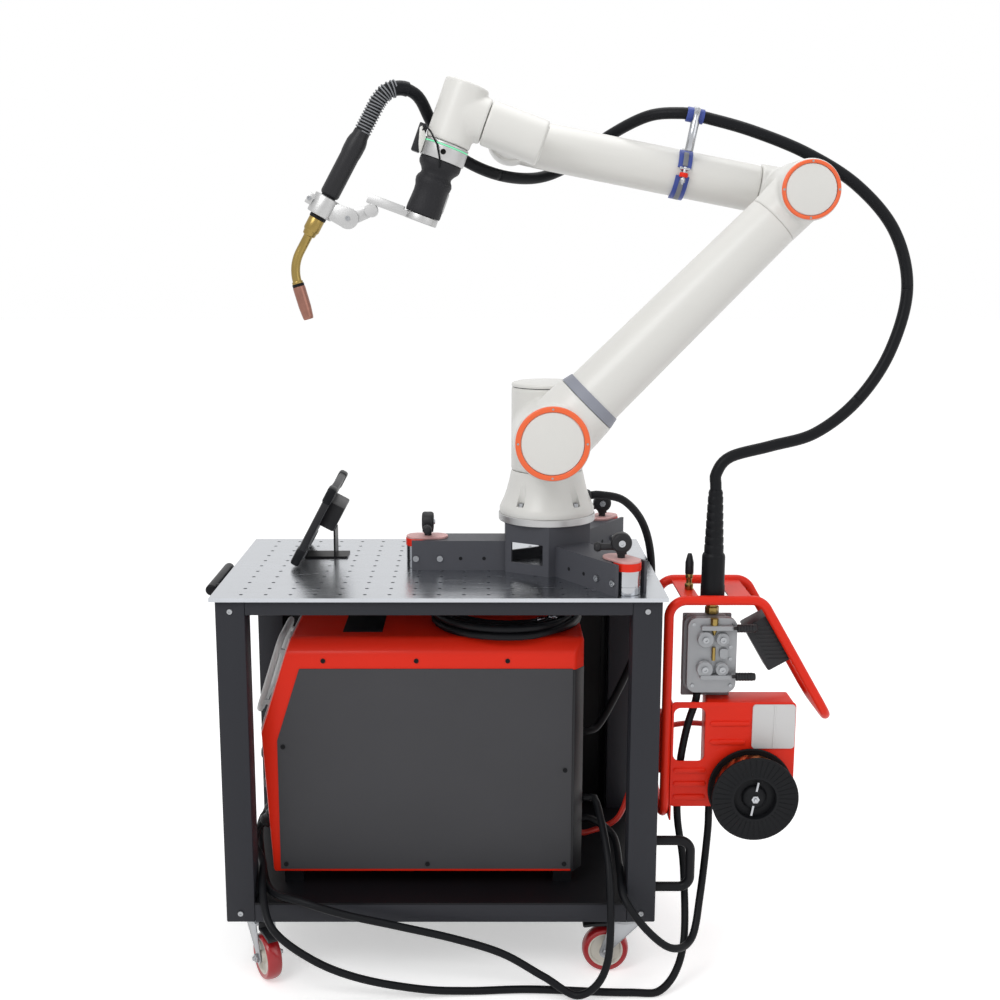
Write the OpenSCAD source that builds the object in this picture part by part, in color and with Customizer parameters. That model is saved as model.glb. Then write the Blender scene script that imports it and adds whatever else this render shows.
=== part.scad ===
// Welding robot cell: a six-joint arm with a welding torch on a magnet tripod, on a
// wheeled table cart that carries the power source, the wire feeder and the cables.
// Millimetres, +Z up, +X along the cart towards the feeder, +Y towards the cart's back.

/* [Table] */
// Width of the table plate
table_w = 920; // [880:10:1100]
// Depth of the table plate
table_d = 560; // [540:10:700]
// Height of the working face above the floor
table_h = 845; // [835:5:950]
// Thickness of the table plate
plate_t = 8; // [6:1:14]
// How far the plate stands out past the frame
overhang = 10; // [4:1:16]
// Diameter of a clamping hole in the plate
hole_d = 8; // [6:0.5:16]
// Side of the square that four clamping holes make
hole_square = 100; // [60:10:120]

/* [Frame] */
// Width of a square corner post
post_w = 60; // [50:2:70]
// Width of a rail
rail_w = 40; // [25:1:48]
// Height of the top rails
top_rail_h = 30; // [20:1:45]
// Height of the bottom rails
low_rail_h = 40; // [25:1:50]
// Wall of the frame's square tubes
frame_wall = 3; // [2:0.5:6]
// Thickness of the shelf sheet
shelf_t = 4; // [2:0.5:6]

/* [Castors] */
// Height of a castor from the floor to the frame
castor_h = 140; // [136:1:160]
// Diameter of a castor wheel
wheel_d = 100; // [80:1:104]
// Width of a castor wheel
wheel_w = 32; // [24:1:36]
// Distance from the swivel axis back to the wheel's axle
trail = 38; // [25:1:42]
// Distance from the frame's outer faces in to a swivel axis
castor_in = 60; // [50:1:80]
// Diameter of a wheel's axle
axle_d = 12; // [8:1:16]

/* [Tripod] */
// Distance from the tripod's axis to a corner of its hub
hub_r = 105; // [95:1:120]
// Height of the hub
hub_h = 107; // [95:1:130]
// Width of a tripod arm
leg_w = 80; // [70:1:90]
// Height of a tripod arm
leg_h = 65; // [55:1:68]
// Distance from the tripod's axis to the end of an arm
leg_r = 294; // [260:1:298]
// Diameter of a magnet foot
magnet_d = 55; // [40:1:60]
// Height of a magnet foot
magnet_h = 70; // [70:1:90]

/* [Robot] */
// Distance of the robot's upright axis from the table's middle
robot_x = 228; // [200:1:235]
// Radius of the foot's mounting ring
foot_r = 105; // [95:1:110]
// Height of the mounting ring
ring_h = 16; // [10:1:20]
// Height of the shoulder axis above the hub
shoulder_up = 196; // [190:1:230]
// Radius of the turret and of the shoulder housing
turret_r = 78; // [70:1:82]
// Sideways distance from the upright axis to the upper arm
arm_off = 150; // [146:1:170]
// Length of the upper arm between its joint axes
upper_len = 700; // [600:5:800]
// Slope of the upper arm above level
upper_angle = 45; // [40:1:60]
// Radius of the upper arm's tube at the shoulder
tube_r1 = 63; // [56:0.5:64]
// Radius of the upper arm's tube at the elbow
tube_r2 = 55; // [48:0.5:56]
// Radius of the elbow housing
elbow_r = 60; // [56:0.5:62]
// Length of the forearm between its joint axes
fore_len = 586; // [560:2:640]
// Slope of the forearm, rising towards the wrist
fore_angle = 11; // [5:1:20]
// Radius of the forearm's tube
fore_r = 48; // [42:0.5:50]
// Radius of the wrist's drums
wrist_r = 45; // [40:0.5:46]
// Sideways distance from the upright axis to the wrist's drums
wrist_off = 159; // [150:1:175]
// Distance from the first wrist axis to the tool's axis
hand_len = 114; // [108:1:130]
// Slope of the wrist's barrel above level
wrist_tilt = 20; // [10:1:30]
// Distance from the wrist's middle to the tool flange's face
flange_len = 100; // [94:1:115]

/* [Tool] */
// Length of the guide grip under the flange
grip_len = 110; // [95:1:130]
// Radius of the grip's handle
grip_r = 35; // [30:0.5:38]
// Distance from the tool's axis to the torch at its clamp
torch_x = 190; // [170:1:210]
// Lean of the torch against the tool's axis
torch_lean = 9; // [5:1:15]
// Radius of the torch's handle
handle_r = 20; // [17:0.5:22]
// Radius of the torch's neck
neck_r = 9; // [7:0.5:11]
// Bend of the torch's neck
neck_bend = 45; // [20:1:60]
// Length of the gas nozzle
nozzle_len = 76; // [60:1:90]

/* [Power source] */
// Length of the case at its base
source_w = 660; // [620:5:670]
// Depth of the case
source_d = 300; // [240:5:320]
// Height of the case
source_h = 516; // [460:2:540]
// Height of the case's feet
source_foot_h = 35; // [20:1:40]
// Thickness of the side panels
side_t = 3; // [2:0.5:5]

/* [Wire feeder] */
// Diameter of the feeder's frame tube
tube_d = 20; // [16:1:24]
// Depth of the feeder between its two tube loops
loop_gap = 180; // [170:2:200]
// Diameter of the wire spool
spool_d = 180; // [160:2:200]
// Width of the wire spool
spool_w = 55; // [45:1:60]
// Diameter of the spool's spindle
spindle_d = 50; // [40:1:52]

/* [Cables] */
// Diameter of the torch hose
hose_d = 24; // [20:1:26]
// Diameter of the power and earth cables
cable_d = 16; // [12:1:18]
// Diameter of the robot's cable
robot_cable_d = 18; // [12:1:20]
// Diameter of the gas hose
gas_hose_d = 12; // [8:1:14]

/* [Hidden] */
$fn = 64;

// Where the cart's middle stands, so that the whole cell is centred on the origin
cell_x = -159;
cell_y = 0;

// Overrun of a cut past the face it opens
cut = 2;
// Gap between a joint's two faces
joint_gap = 0.4;
// Clearance round a piece that seats in another
seat_gap = 0.3;
// Clearance round a turning shaft
run_gap = 0.05;

// Colours
charcoal_c = [0.20, 0.21, 0.24];
steel_c = [0.72, 0.74, 0.75];
zinc_c = [0.62, 0.64, 0.66];
black_c = [0.07, 0.07, 0.08];
white_c = [0.86, 0.86, 0.84];
orange_c = [0.90, 0.38, 0.18];
slate_c = [0.52, 0.55, 0.60];
red_c = [0.88, 0.20, 0.13];
panel_c = [0.26, 0.26, 0.27];
grey_c = [0.78, 0.78, 0.77];
brass_c = [0.72, 0.56, 0.28];
copper_c = [0.66, 0.38, 0.28];
tread_c = [0.62, 0.06, 0.06];

// Table and frame
frame_w = table_w - 2 * overhang;
frame_d = table_d - 2 * overhang;
plate_z = table_h - plate_t;
post_x = frame_w / 2 - post_w / 2;
post_y = frame_d / 2 - post_w / 2;
shelf_z = castor_h + low_rail_h;
shelf_top = shelf_z + shelf_t;
back_half = frame_w / 2 - post_w - seat_gap;
back_h = plate_z - top_rail_h - seat_gap - shelf_z;
hole_mid = [-200, -150];
hole_step = 150;

// Castors
castor_x = frame_w / 2 - castor_in;
castor_y = frame_d / 2 - castor_in;
castor_plate = [104, 84, 4];
race_r = 30;
race_h = 10;
fork_t = 4;
fork_gap = 3;
fork_z = castor_h - castor_plate[2] - race_h - joint_gap;
boss_r = 13;
pedal = [60, 24, 5];
pedal_gap = 6;
pedal_z = wheel_d + pedal_gap;
castor_turns = [-60, 180, 150, 30];

// Push handle and cable hanger
bar_d = 24;
bar_z = 816;
bar_out = 42;
bar_half = 105;
hook_d = 20;
hook_out = 75;
hook_bend = 24;
hook_low = 206;
hook_high = 310;

// Tripod
hub_wall = 6;
hub_lid = 10;
leg_wall = 6;
leg_turns = [180, -57, 57];
window = [76, 44];
window_z = 23;
magnet_in = 14;
magnet_r = leg_r - magnet_in;
lever = [26, 26, 50];
lever_in = 20;
lever_arm = [44, 10, 10];

// Tablet
tablet_size = [20, 250, 194];
tablet_lean = 28;
tablet_in = 142;
tablet_back = 50;
tablet_front = table_d / 2 - tablet_back - tablet_size[1];
tablet_foot = [-table_w / 2 + tablet_in, tablet_front];
cradle = [34, 120, 60];
cradle_up = 92;
tablet_leg = [4, 60];
tablet_base = [96, 60, 4];

// Robot
hub_z = table_h + hub_h;
ring_z = hub_z;
foot_z = ring_z + ring_h;
foot_h = 93;
foot_lip = 12;
pocket_turns = [51, 129, 231, 309];
plug_turn = atan2(7, 24);
plug_z = 998;
plug_r = 14;
plug_reach = 100;
turret_z = foot_z + foot_h + joint_gap;
turret_top = 106;
shoulder_half = 71;
elbow_half = 66;
edge = 5;
neck_len = 102;
band_len = 22;
band_r1 = 70;
band_r2 = 65;
elbow_neck = 82;
tube_len = upper_len - elbow_neck - neck_len - band_len;
shell_t = 6;
cap_t = 6;
ring_t = 5;
shoulder_ring = [75, 64];
elbow_ring = [57, 50];
fore_half = 56;
fore_seam = 64;
fore_neck_r = 52;
wrist_end_r = 50;
wrist_face = -76;
barrel_back = 62;
barrel_front = 56;
hand_top = 56;
hand_face = 65;
shoulder_z = hub_z + shoulder_up;
shoulder_p = [robot_x, 0, shoulder_z];
elbow_p = shoulder_p + upper_len * [cos(upper_angle), 0, sin(upper_angle)];
wrist_p = elbow_p + fore_len * [-cos(fore_angle), 0, sin(fore_angle)];
hand_p = wrist_p + [0, -wrist_off, 0] + hand_len * [-cos(wrist_tilt), 0, sin(wrist_tilt)];

// Hose bracket, measured along the forearm from the elbow
bracket_at = 227;
strap_w = 22;
strap_t = 5;
bracket_up = 115;
bracket_y = -40;
bracket_post = [16, 10];
clip_t = 4;

// Tool and torch
grip_top_r = 41;
grip_waist_r = 32;
grip_lip = 12;
grip_waist = 28;
grip_swell = 56;
disc_t = 15;
disc_r = 33;
link_w = 30;
link_t = 16;
knuckle_x = 98;
knuckle_z = 26;
knuckle_r = 14;
tab_x = 136;
tab_z = 57;
tab_r = 22;
clamp_z = 38;
clamp_half = 17;
clamp_r = 26;
clamp_arm = 42;
clamp_w = 28;
torch_r = 15;
handle_from = 24;
handle_to = 165;
boot_to = 215;
boot_r = 17;
collar_from = 18;
collar_to = 60;
neck_collar_r = 16;
neck_to = 98;
neck_bend_r = 80;
nozzle_r = 12;
nozzle_tip_r = 10;
nozzle_bore = 8;

// Power source
source_x = -30;
source_y = -50;
source_z = shelf_top + source_foot_h;
case_wall = 4;
nose_knee = 313;
nose_low = 18;
nose_top = 65;
side_in = 16;
side_top = 62;
side_slope_in = 50;
front_t = 4;
front_in = 30;
socket_r = 15;
socket_len = 40;
socket_out = 24;
socket_up = 95;
socket_ys = [-110, -50];
bow_d = 14;
bow_w = 180;
bow_out = 14;
bow_low = 12;
bow_high = 196;
foot_pad = [40, 30];
foot_in = 40;
coil_r = 140;
coil_band = 30;
coil_h = 42;
coil_at = [140, -50];

// Wire feeder
loop_out = 22;
loop_x = frame_w / 2 + loop_out;
function past_loop(out) = [for (o = out) loop_x + o];
loop_front = -205;
loop_low = 348;
loop_top = 821;
loop_corner = 40;
loop_run = 128;
bend_d = tube_d + cut / 2;
fall_angle = 60;
slope_len = 272;
run_end = loop_x + loop_corner + loop_run;
slope_p = [run_end + loop_corner * sin(fall_angle), 0, loop_top - loop_corner * (1 - cos(fall_angle))];
slope_end = slope_p + slope_len * [cos(fall_angle), 0, -sin(fall_angle)];
panel_out = 274;
panel_x = [loop_x + tube_d / 2 + cut / 2 + seat_gap, loop_x + panel_out];
panel_z = [366, 598];
panel_y = -195;
panel_t = 4;
slot_out = [18, 84];
slot_x = past_loop(slot_out);
slot_z = [468, 585];
box_out = 88;
box_x = loop_x + box_out;
box_y = -123;
lug_z = [430, 560];
lug_y = [-160, -120];
roof_out = [[28, 64], [128, 174]];
roof_x = [for (o = roof_out) past_loop(o)];
sheet_t = 4;
cover_size = [60, 56, 110];
cover_along = 68;
cover_at = slope_p + cover_along * [cos(fall_angle), 0, -sin(fall_angle)]
    - cover_size[0] / 2 * [sin(fall_angle), 0, cos(fall_angle)]
    + [0, loop_front + tube_d / 2 + seat_gap + cover_size[1] / 2, 0];
cover_turn = fall_angle - 90;
feed_out = 96;
feed_x = loop_x + feed_out;
feed_y = -160;
drive_out = [36, 146];
drive_x = past_loop(drive_out);
drive_y = [-200, -150];
drive_up = 18;
drive_h = 166;
drive_low = panel_z[1] + drive_up;
drive_z = [drive_low, drive_low + drive_h];
motor_r = 34;
motor_y = -60;
roller_r = 17;
roller_w = 12;
roller_dx = 18;
roller_ups = [56, 120];
knob_r = 7;
knob_len = 66;
knob_ups = [42, 146];
socket_body_r = 15;
socket_top = 812;
boot_low_r = 25;
boot_top_r = 15;
boot_top = 1045;
plate_out = [182, 272];
plate_at = past_loop(plate_out);
plate_z_at = [497, 594];
plate_th = 4;
spool_out = 181;
spool_x = loop_x + spool_out;
spool_z = 410;
spool_core_r = 52;
spool_wall = 4;

// Cable routes, chosen by hand
route_sides = 10;
hose_a_route = [[568, -160, 1045], [568, -160, 1078], [596, -158, 1112], [680, -152, 1134],
    [770, -148, 1160], [855, -139, 1226], [920, -128, 1325], [952, -115, 1450], [925, -100, 1565],
    [850, -84, 1656], [750, -62, 1722], [640, -45, 1768], [548, -40, 1794], [522, -40, 1799]];
hose_b_route = [[521.5, -40, 1799.1], [496, -40, 1804], [430, -12, 1801], [355, 54, 1767],
    [280, 86, 1712], [205, 52, 1681], [120, -18, 1683], [40, -70, 1716], [-8, -99, 1770],
    [-34, -126, 1818.7], [-53, -142, 1834.7], [-73.4, -153, 1839.2], [-97.4, -158.5, 1832.8],
    [-115.4, -159, 1814.5], [-123.5, -159, 1799.9]];
power_route = [[-384, -160, 314], [-396, -160, 302], [-404, -170, 270], [-382, -204, 243],
    [-374, -262, 211], [-344, -330, 158], [-263, -340, 95], [-166, -335, 50], [-42, -325, 20],
    [60, -314, 9], [190, -308, 9], [390, -320, 9], [465, -312, 14], [512, -262, 80],
    [520, -190, 220], [506, -176, 330], [505, -175, 400], [510, -174, 470], [522, -174, 540],
    [537, -174, 592], [540, -174, 614.5]];
earth_route = [[-384, -100, 314], [-396, -100, 302], [-404, -108, 270], [-392, -155, 225],
    [-360, -242, 198], [-290, -287, 196], [-200, -297, 172], [-90, -300, 148], [30, -302, 120],
    [130, -305, 88], [215, -320, 45], [290, -342, 16], [345, -340, 90], [352, -262, 255],
    [335, -150, 352], [318, -135, 360], [300, -135, 360]];
robot_route = [[324, 28, 998], [348, 35, 998], [405, 72, 978], [455, 118, 915], [480, 152, 820],
    [478, 166, 700], [440, 152, 578], [365, 82, 458], [330, 60, 440], [300, 60, 440]];
control_route = [[300, -110, 300], [325, -110, 300], [372, -140, 275], [379, -225, 236],
    [382, -285, 205], [425, -320, 152], [480, -318, 108], [528, -272, 106], [552, -222, 180],
    [572, -172, 290], [575, -162, 338], [575, -160, 368.5]];
gas_route = [[300, -90, 260], [322, -90, 260], [384, -94, 292], [412, -98, 365], [436, -90, 440],
    [478, -72, 490], [535, -62, 503], [590, -74, 504], [612, -98, 504], [613, -122.7, 504]];

module cell() translate([cell_x, cell_y, 0]) children();

// Cylinder along Y between two places
module y_cyl(r, y0, y1) translate([0, y0, 0]) rotate([-90, 0, 0]) cylinder(r = r, h = y1 - y0);

// Drum along Z with chamfered rims
module drum(r, h, rim) rotate_extrude()
    polygon([[0, 0], [r - rim, 0], [r, rim], [r, h - rim], [r - rim, h], [0, h]]);

module y_drum(r, y0, y1, rim) translate([0, y0, 0]) rotate([-90, 0, 0]) drum(r, y1 - y0, rim);

// Box from its low corner to its high corner
module span(low, high) translate(low) cube(high - low);

// Box with its middle in X and Y on the local origin
module centred(size) translate([-size[0] / 2, -size[1] / 2, 0]) cube(size);

module four_corners(x, y) for (sx = [-1, 1], sy = [-1, 1]) translate([sx * x, sy * y, 0]) children();

// Local frames along the arm: Z runs along the link from its first joint
module on_upper_arm() translate(shoulder_p - [0, arm_off, 0]) rotate([0, 90 - upper_angle, 0]) children();
module on_forearm() translate(elbow_p) rotate([0, fore_angle - 90, 0]) children();
module on_barrel() translate(wrist_p - [0, wrist_off, 0]) rotate([0, wrist_tilt - 90, 0]) children();
module on_tool() translate(hand_p) rotate([0, 180 + wrist_tilt, 0]) children();
module on_torch() on_tool()
    translate([torch_x, 0, flange_len + grip_len + disc_t + clamp_z]) rotate([0, torch_lean, 0]) children();

// Tube swept along a route, with one ring of points at each of the route's points
function unit(v) = v / norm(v);
function heading(p, i) = unit(p[min(i + 1, len(p) - 1)] - p[max(i - 1, 0)]);
function first_side(d) = unit(cross(d, abs(d[1]) < 0.9 ? [0, 1, 0] : [1, 0, 0]));
function square_to(s, d) = unit(s - (s * d) * d);
function sides_along(p, i) = i == 0 ? [first_side(heading(p, 0))] :
    let (before = sides_along(p, i - 1)) concat(before, [square_to(before[i - 1], heading(p, i))]);
function ring(c, d, s, r) = let (t = cross(d, s))
    [for (k = [0 : route_sides - 1]) let (a = 360 * k / route_sides) c + r * (cos(a) * s + sin(a) * t)];

module route_tube(p, d) {
    last = len(p) - 1;
    side = sides_along(p, last);
    points = [for (i = [0 : last]) each ring(p[i], heading(p, i), side[i], d / 2)];
    walls = [for (i = [0 : last - 1], k = [0 : route_sides - 1]) let (n = (k + 1) % route_sides)
        [i * route_sides + k, (i + 1) * route_sides + k, (i + 1) * route_sides + n, i * route_sides + n]];
    start = [[for (k = [0 : route_sides - 1]) k]];
    end = [[for (k = [route_sides - 1 : -1 : 0]) last * route_sides + k]];
    polyhedron(points, concat(walls, start, end));
}

// Cart

module table_top() color(steel_c) cell() difference() {
    translate([0, 0, plate_z]) centred([table_w, table_d, plate_t]);
    for (i = [-1 : 1])
        translate([hole_mid[0] + i * hole_step, hole_mid[1], plate_z - cut])
            four_corners(hole_square / 2, hole_square / 2) cylinder(d = hole_d, h = plate_t + 2 * cut);
}

// Square tube along Z, open at both ends
module box_tube(a, b, h) difference() {
    centred([a, b, h]);
    translate([0, 0, -cut]) centred([a - 2 * frame_wall, b - 2 * frame_wall, h + 2 * cut]);
}

module corner_posts() color(charcoal_c) cell() translate([0, 0, castor_h])
    four_corners(post_x, post_y) box_tube(post_w, post_w, plate_z - castor_h);

module rail_ring(z, h) translate([0, 0, z + h / 2]) {
    side_w = frame_w - 2 * post_w;
    side_d = frame_d - 2 * post_w;
    for (s = [-1, 1]) {
        translate([-side_w / 2, s * (frame_d - rail_w) / 2, 0]) rotate([0, 90, 0])
            box_tube(h, rail_w, side_w);
        translate([s * (frame_w - rail_w) / 2, side_d / 2, 0]) rotate([90, 0, 0]) box_tube(rail_w, h, side_d);
    }
}

module frame_rails() color(charcoal_c) cell() {
    rail_ring(castor_h, low_rail_h);
    rail_ring(plate_z - top_rail_h, top_rail_h);
}

// The sheet is folded up at the back, between the posts
module bottom_shelf() color(charcoal_c) cell() translate([0, 0, shelf_z]) {
    difference() {
        centred([frame_w, frame_d, shelf_t]);
        translate([0, 0, -cut]) four_corners(frame_w / 2, frame_d / 2)
            centred([2 * (post_w + seat_gap), 2 * (post_w + seat_gap), shelf_t + 2 * cut]);
    }
    span([-back_half, frame_d / 2 - shelf_t, 0], [back_half, frame_d / 2, back_h]);
}

module castor_plates() color(zinc_c) cell() four_corners(castor_x, castor_y) {
    translate([0, 0, castor_h - castor_plate[2]]) centred(castor_plate);
    translate([0, 0, castor_h - castor_plate[2] - race_h]) cylinder(r = race_r, h = race_h);
}

module at_castor(i) cell()
    translate([(i % 2 == 0 ? -1 : 1) * castor_x, (i < 2 ? -1 : 1) * castor_y, 0])
        rotate([0, 0, castor_turns[i]]) children();

fork_half = wheel_w / 2 + fork_gap;

module fork_leg() rotate([90, 0, 0]) linear_extrude(fork_t) polygon([
    [-race_r, fork_z], [-race_r, fork_z - fork_t], [trail - boss_r, wheel_d / 2],
    [trail - boss_r / 2, wheel_d / 2 - boss_r], [trail + boss_r / 2, wheel_d / 2 - boss_r],
    [trail + boss_r, wheel_d / 2], [race_r, fork_z - fork_t], [race_r, fork_z]]);

module castor_fork(i) color(zinc_c) at_castor(i) {
    translate([0, 0, fork_z - fork_t]) centred([2 * race_r, 2 * (fork_half + fork_t), fork_t]);
    translate([0, -fork_half, 0]) fork_leg();
    translate([0, fork_half + fork_t, 0]) fork_leg();
    translate([trail, 0, wheel_d / 2]) y_cyl(axle_d / 2, -fork_half - fork_t, fork_half + fork_t);
    translate([race_r - fork_t, -pedal[1] / 2, pedal_z]) cube(pedal);
    translate([race_r - fork_t, -pedal[1] / 2, pedal_z]) cube([fork_t, pedal[1], fork_z - pedal_z]);
}

module castor_wheel(i) color(tread_c) at_castor(i) translate([trail, 0, wheel_d / 2]) difference() {
    y_drum(wheel_d / 2, -wheel_w / 2, wheel_w / 2, edge);
    y_cyl(axle_d / 2 + run_gap, -wheel_w / 2 - cut, wheel_w / 2 + cut);
}

module castor_fork_1() castor_fork(0);
module castor_fork_2() castor_fork(1);
module castor_fork_3() castor_fork(2);
module castor_fork_4() castor_fork(3);
module castor_wheel_1() castor_wheel(0);
module castor_wheel_2() castor_wheel(1);
module castor_wheel_3() castor_wheel(2);
module castor_wheel_4() castor_wheel(3);

module push_handle() color(black_c) cell() translate([-frame_w / 2, 0, bar_z]) {
    translate([-bar_out, 0, 0]) y_drum(bar_d / 2, -bar_half, bar_half, edge);
    for (s = [-1, 1]) translate([0, s * (bar_half - bar_d), 0])
        rotate([0, -90, 0]) cylinder(d = bar_d * 3 / 4, h = bar_out);
}

module cable_hanger() color(black_c) cell() translate([frame_w / 2, -post_y, 0]) {
    for (z = [hook_low, hook_high]) translate([0, 0, z])
        rotate([0, 90, 0]) cylinder(d = hook_d, h = hook_out - hook_bend);
    translate([hook_out, 0, hook_low + hook_bend])
        cylinder(d = hook_d, h = hook_high - hook_low - 2 * hook_bend);
    translate([hook_out - hook_bend, 0, hook_high - hook_bend]) rotate([90, 0, 0])
        rotate_extrude(angle = 90) translate([hook_bend, 0]) circle(d = hook_d);
    translate([hook_out - hook_bend, 0, hook_low + hook_bend]) rotate([90, 0, 0])
        rotate_extrude(angle = -90) translate([hook_bend, 0]) circle(d = hook_d);
}

// Tripod

module on_hub() cell() translate([robot_x, 0, table_h]) children();

module leg_channel() difference() {
    translate([0, -leg_w / 2, 0]) cube([leg_r, leg_w, leg_h]);
    span([0, leg_wall - leg_w / 2, leg_wall],
        [magnet_r - magnet_d / 2 - 2 * leg_wall, leg_w / 2 - leg_wall, leg_h - leg_wall]);
    translate([magnet_r, 0, -cut]) cylinder(d = magnet_d + 2 * leg_wall, h = leg_h + 2 * cut);
    translate([magnet_r, -magnet_d / 2 - leg_wall, -cut])
        cube([magnet_d, magnet_d + 2 * leg_wall, leg_h + 2 * cut]);
}

module tripod() color(charcoal_c) on_hub() difference() {
    union() {
        rotate([0, 0, 30]) cylinder(r = hub_r, h = hub_h, $fn = 6);
        for (a = leg_turns) rotate([0, 0, a]) leg_channel();
    }
    translate([0, 0, -cut]) rotate([0, 0, 30])
        cylinder(r = hub_r - hub_wall, h = hub_h - hub_lid + cut, $fn = 6);
    for (a = [0, 120, 240]) rotate([0, 0, a])
        span([0, -window[0] / 2, window_z], [hub_r + cut, window[0] / 2, window_z + window[1]]);
}

module at_magnets() on_hub() for (a = leg_turns) rotate([0, 0, a]) translate([magnet_r, 0, 0]) children();

module magnet_feet() color(zinc_c) at_magnets() {
    drum(magnet_d / 2, magnet_h, edge / 2);
    translate([-magnet_d / 2 - leg_wall, -link_w / 2, leg_h])
        cube([magnet_d / 2 + leg_wall, link_w, magnet_h - leg_h]);
    translate([-lever_in, 0, magnet_h]) centred(lever);
    translate([-lever_in - lever_arm[0], -lever_arm[1] / 2, magnet_h + (lever[2] - lever_arm[2]) / 2])
        cube(lever_arm);
}

// Tablet

module at_tablet() cell() translate([tablet_foot[0], tablet_foot[1], table_h]) children();

module tablet() color(black_c) at_tablet() rotate([0, tablet_lean, 0]) {
    translate([-tablet_size[0], 0, 0]) cube(tablet_size);
    translate([0, (tablet_size[1] - cradle[1]) / 2, cradle_up]) cube(cradle);
}

module tablet_stand() color(grey_c) at_tablet() translate([0, (tablet_size[1] - tablet_leg[1]) / 2, 0]) {
    leg_x = cradle_up * sin(tablet_lean) + cradle[0] * cos(tablet_lean);
    leg_z = cradle_up * cos(tablet_lean) - cradle[0] * sin(tablet_lean);
    translate([tablet_leg[0], 0, 0]) cube(tablet_base);
    translate([leg_x - tablet_leg[0], 0, 0]) cube([tablet_leg[0], tablet_leg[1], leg_z]);
}

// Robot

module at_robot() cell() translate([robot_x, 0, 0]) children();

module foot_ring() color(grey_c) at_robot() translate([0, 0, ring_z]) drum(foot_r, ring_h, edge / 4);

module robot_foot() color(white_c) at_robot() translate([0, 0, foot_z]) {
    foot_flare();
    rotate([0, 0, plug_turn]) translate([turret_r - edge, 0, plug_z - foot_z]) rotate([0, 90, 0])
        cylinder(r = plug_r, h = plug_reach - turret_r + edge);
}

module foot_flare() difference() {
    rotate_extrude() polygon([[0, 0], [foot_r - edge / 2, 0], [foot_r - edge / 2, foot_lip],
        [(foot_r + turret_r) / 2, foot_h / 3], [turret_r + edge / 2, foot_h * 2 / 3],
        [turret_r, foot_h], [0, foot_h]]);
    for (a = pocket_turns) rotate([0, 0, a]) translate([foot_r - 3 * edge, 0, foot_lip])
        cylinder(r = 2 * edge, h = foot_h);
}

module turret() color(white_c) cell() {
    translate([robot_x, 0, turret_z]) drum(turret_r, shoulder_z + turret_top - turret_z, edge);
    translate(shoulder_p) y_cyl(turret_r, -arm_off + shoulder_half + joint_gap, 0);
}

module shoulder_housing() color(white_c) cell() {
    translate(shoulder_p - [0, arm_off, 0]) y_drum(turret_r, -shoulder_half, shoulder_half, edge / 2);
    on_upper_arm() cylinder(r = band_r1, h = neck_len);
}

module arm_band() color(slate_c) cell() on_upper_arm() translate([0, 0, neck_len])
    cylinder(r1 = band_r1, r2 = band_r2, h = band_len);

module upper_arm_tube() color(white_c) cell() on_upper_arm() translate([0, 0, neck_len + band_len])
    difference() {
        cylinder(r1 = tube_r1, r2 = tube_r2, h = tube_len);
        translate([0, 0, -cut]) cylinder(r = tube_r2 - shell_t, h = tube_len + 2 * cut);
    }

module elbow_housing() color(white_c) cell() {
    on_upper_arm() translate([0, 0, upper_len - elbow_neck]) cylinder(r = tube_r2 + edge / 2, h = elbow_neck);
    translate(elbow_p - [0, arm_off, 0]) y_drum(elbow_r, -elbow_half, elbow_half, edge / 2);
}

module joint_cover(size) {
    difference() {
        y_cyl(size[0], -ring_t, 0);
        y_cyl(size[1] + seat_gap, -ring_t - cut, cut);
    }
    color(white_c) y_drum(size[1], -cap_t, 0, edge / 4);
}

module joint_covers() color(orange_c) cell() {
    translate(shoulder_p - [0, arm_off + shoulder_half, 0]) joint_cover(shoulder_ring);
    translate(elbow_p - [0, arm_off + elbow_half, 0]) joint_cover(elbow_ring);
}

module forearm_elbow() color(white_c) cell() {
    translate(elbow_p) y_drum(elbow_r - edge / 2, -arm_off + elbow_half + joint_gap, fore_half, edge / 2);
    on_forearm() cylinder(r = fore_neck_r, h = fore_seam);
}

module forearm_tube() color(white_c) cell() {
    on_forearm() translate([0, 0, fore_seam]) difference() {
        cylinder(r = fore_r, h = fore_len - fore_seam);
        translate([0, 0, -cut])
            cylinder(r = fore_r - shell_t, h = fore_len - fore_seam - 2 * wrist_end_r + cut);
    }
    translate(wrist_p) y_drum(wrist_end_r, wrist_face + joint_gap, fore_half, edge / 2);
}

module hose_bracket() color(steel_c) cell() on_forearm() translate([0, 0, bracket_at - strap_w / 2]) {
    difference() {
        cylinder(r = fore_r + seat_gap + strap_t, h = strap_w);
        translate([0, 0, -cut]) cylinder(r = fore_r + seat_gap, h = strap_w + 2 * cut);
    }
    difference() {
        union() {
            translate([0, bracket_y - hose_d / 2 - clip_t - bracket_post[1] / 2,
                (strap_w - bracket_post[0]) / 2])
                translate([-fore_r, 0, 0]) cube([fore_r + bracket_up, bracket_post[1], bracket_post[0]]);
            translate([bracket_up, bracket_y, 0]) cylinder(d = hose_d + 2 * (seat_gap + clip_t), h = strap_w);
        }
        translate([bracket_up, bracket_y, -cut]) cylinder(d = hose_d + 2 * seat_gap, h = strap_w + 2 * cut);
        translate([0, 0, -cut]) cylinder(r = fore_r + seat_gap, h = strap_w + 2 * cut);
    }
}

module wrist_one() color(white_c) cell() {
    translate(wrist_p) y_cyl(wrist_r, -wrist_off, wrist_face - joint_gap);
    on_barrel() translate([0, 0, -barrel_back])
        drum(wrist_r, barrel_back + barrel_front - joint_gap, edge / 2);
}

module wrist_two() color(white_c) cell() {
    on_barrel() translate([0, 0, barrel_front + joint_gap])
        cylinder(r = wrist_r, h = hand_len - barrel_front - joint_gap);
    on_tool() translate([0, 0, -hand_top]) drum(wrist_r, hand_top + hand_face - joint_gap, edge / 2);
}

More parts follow.
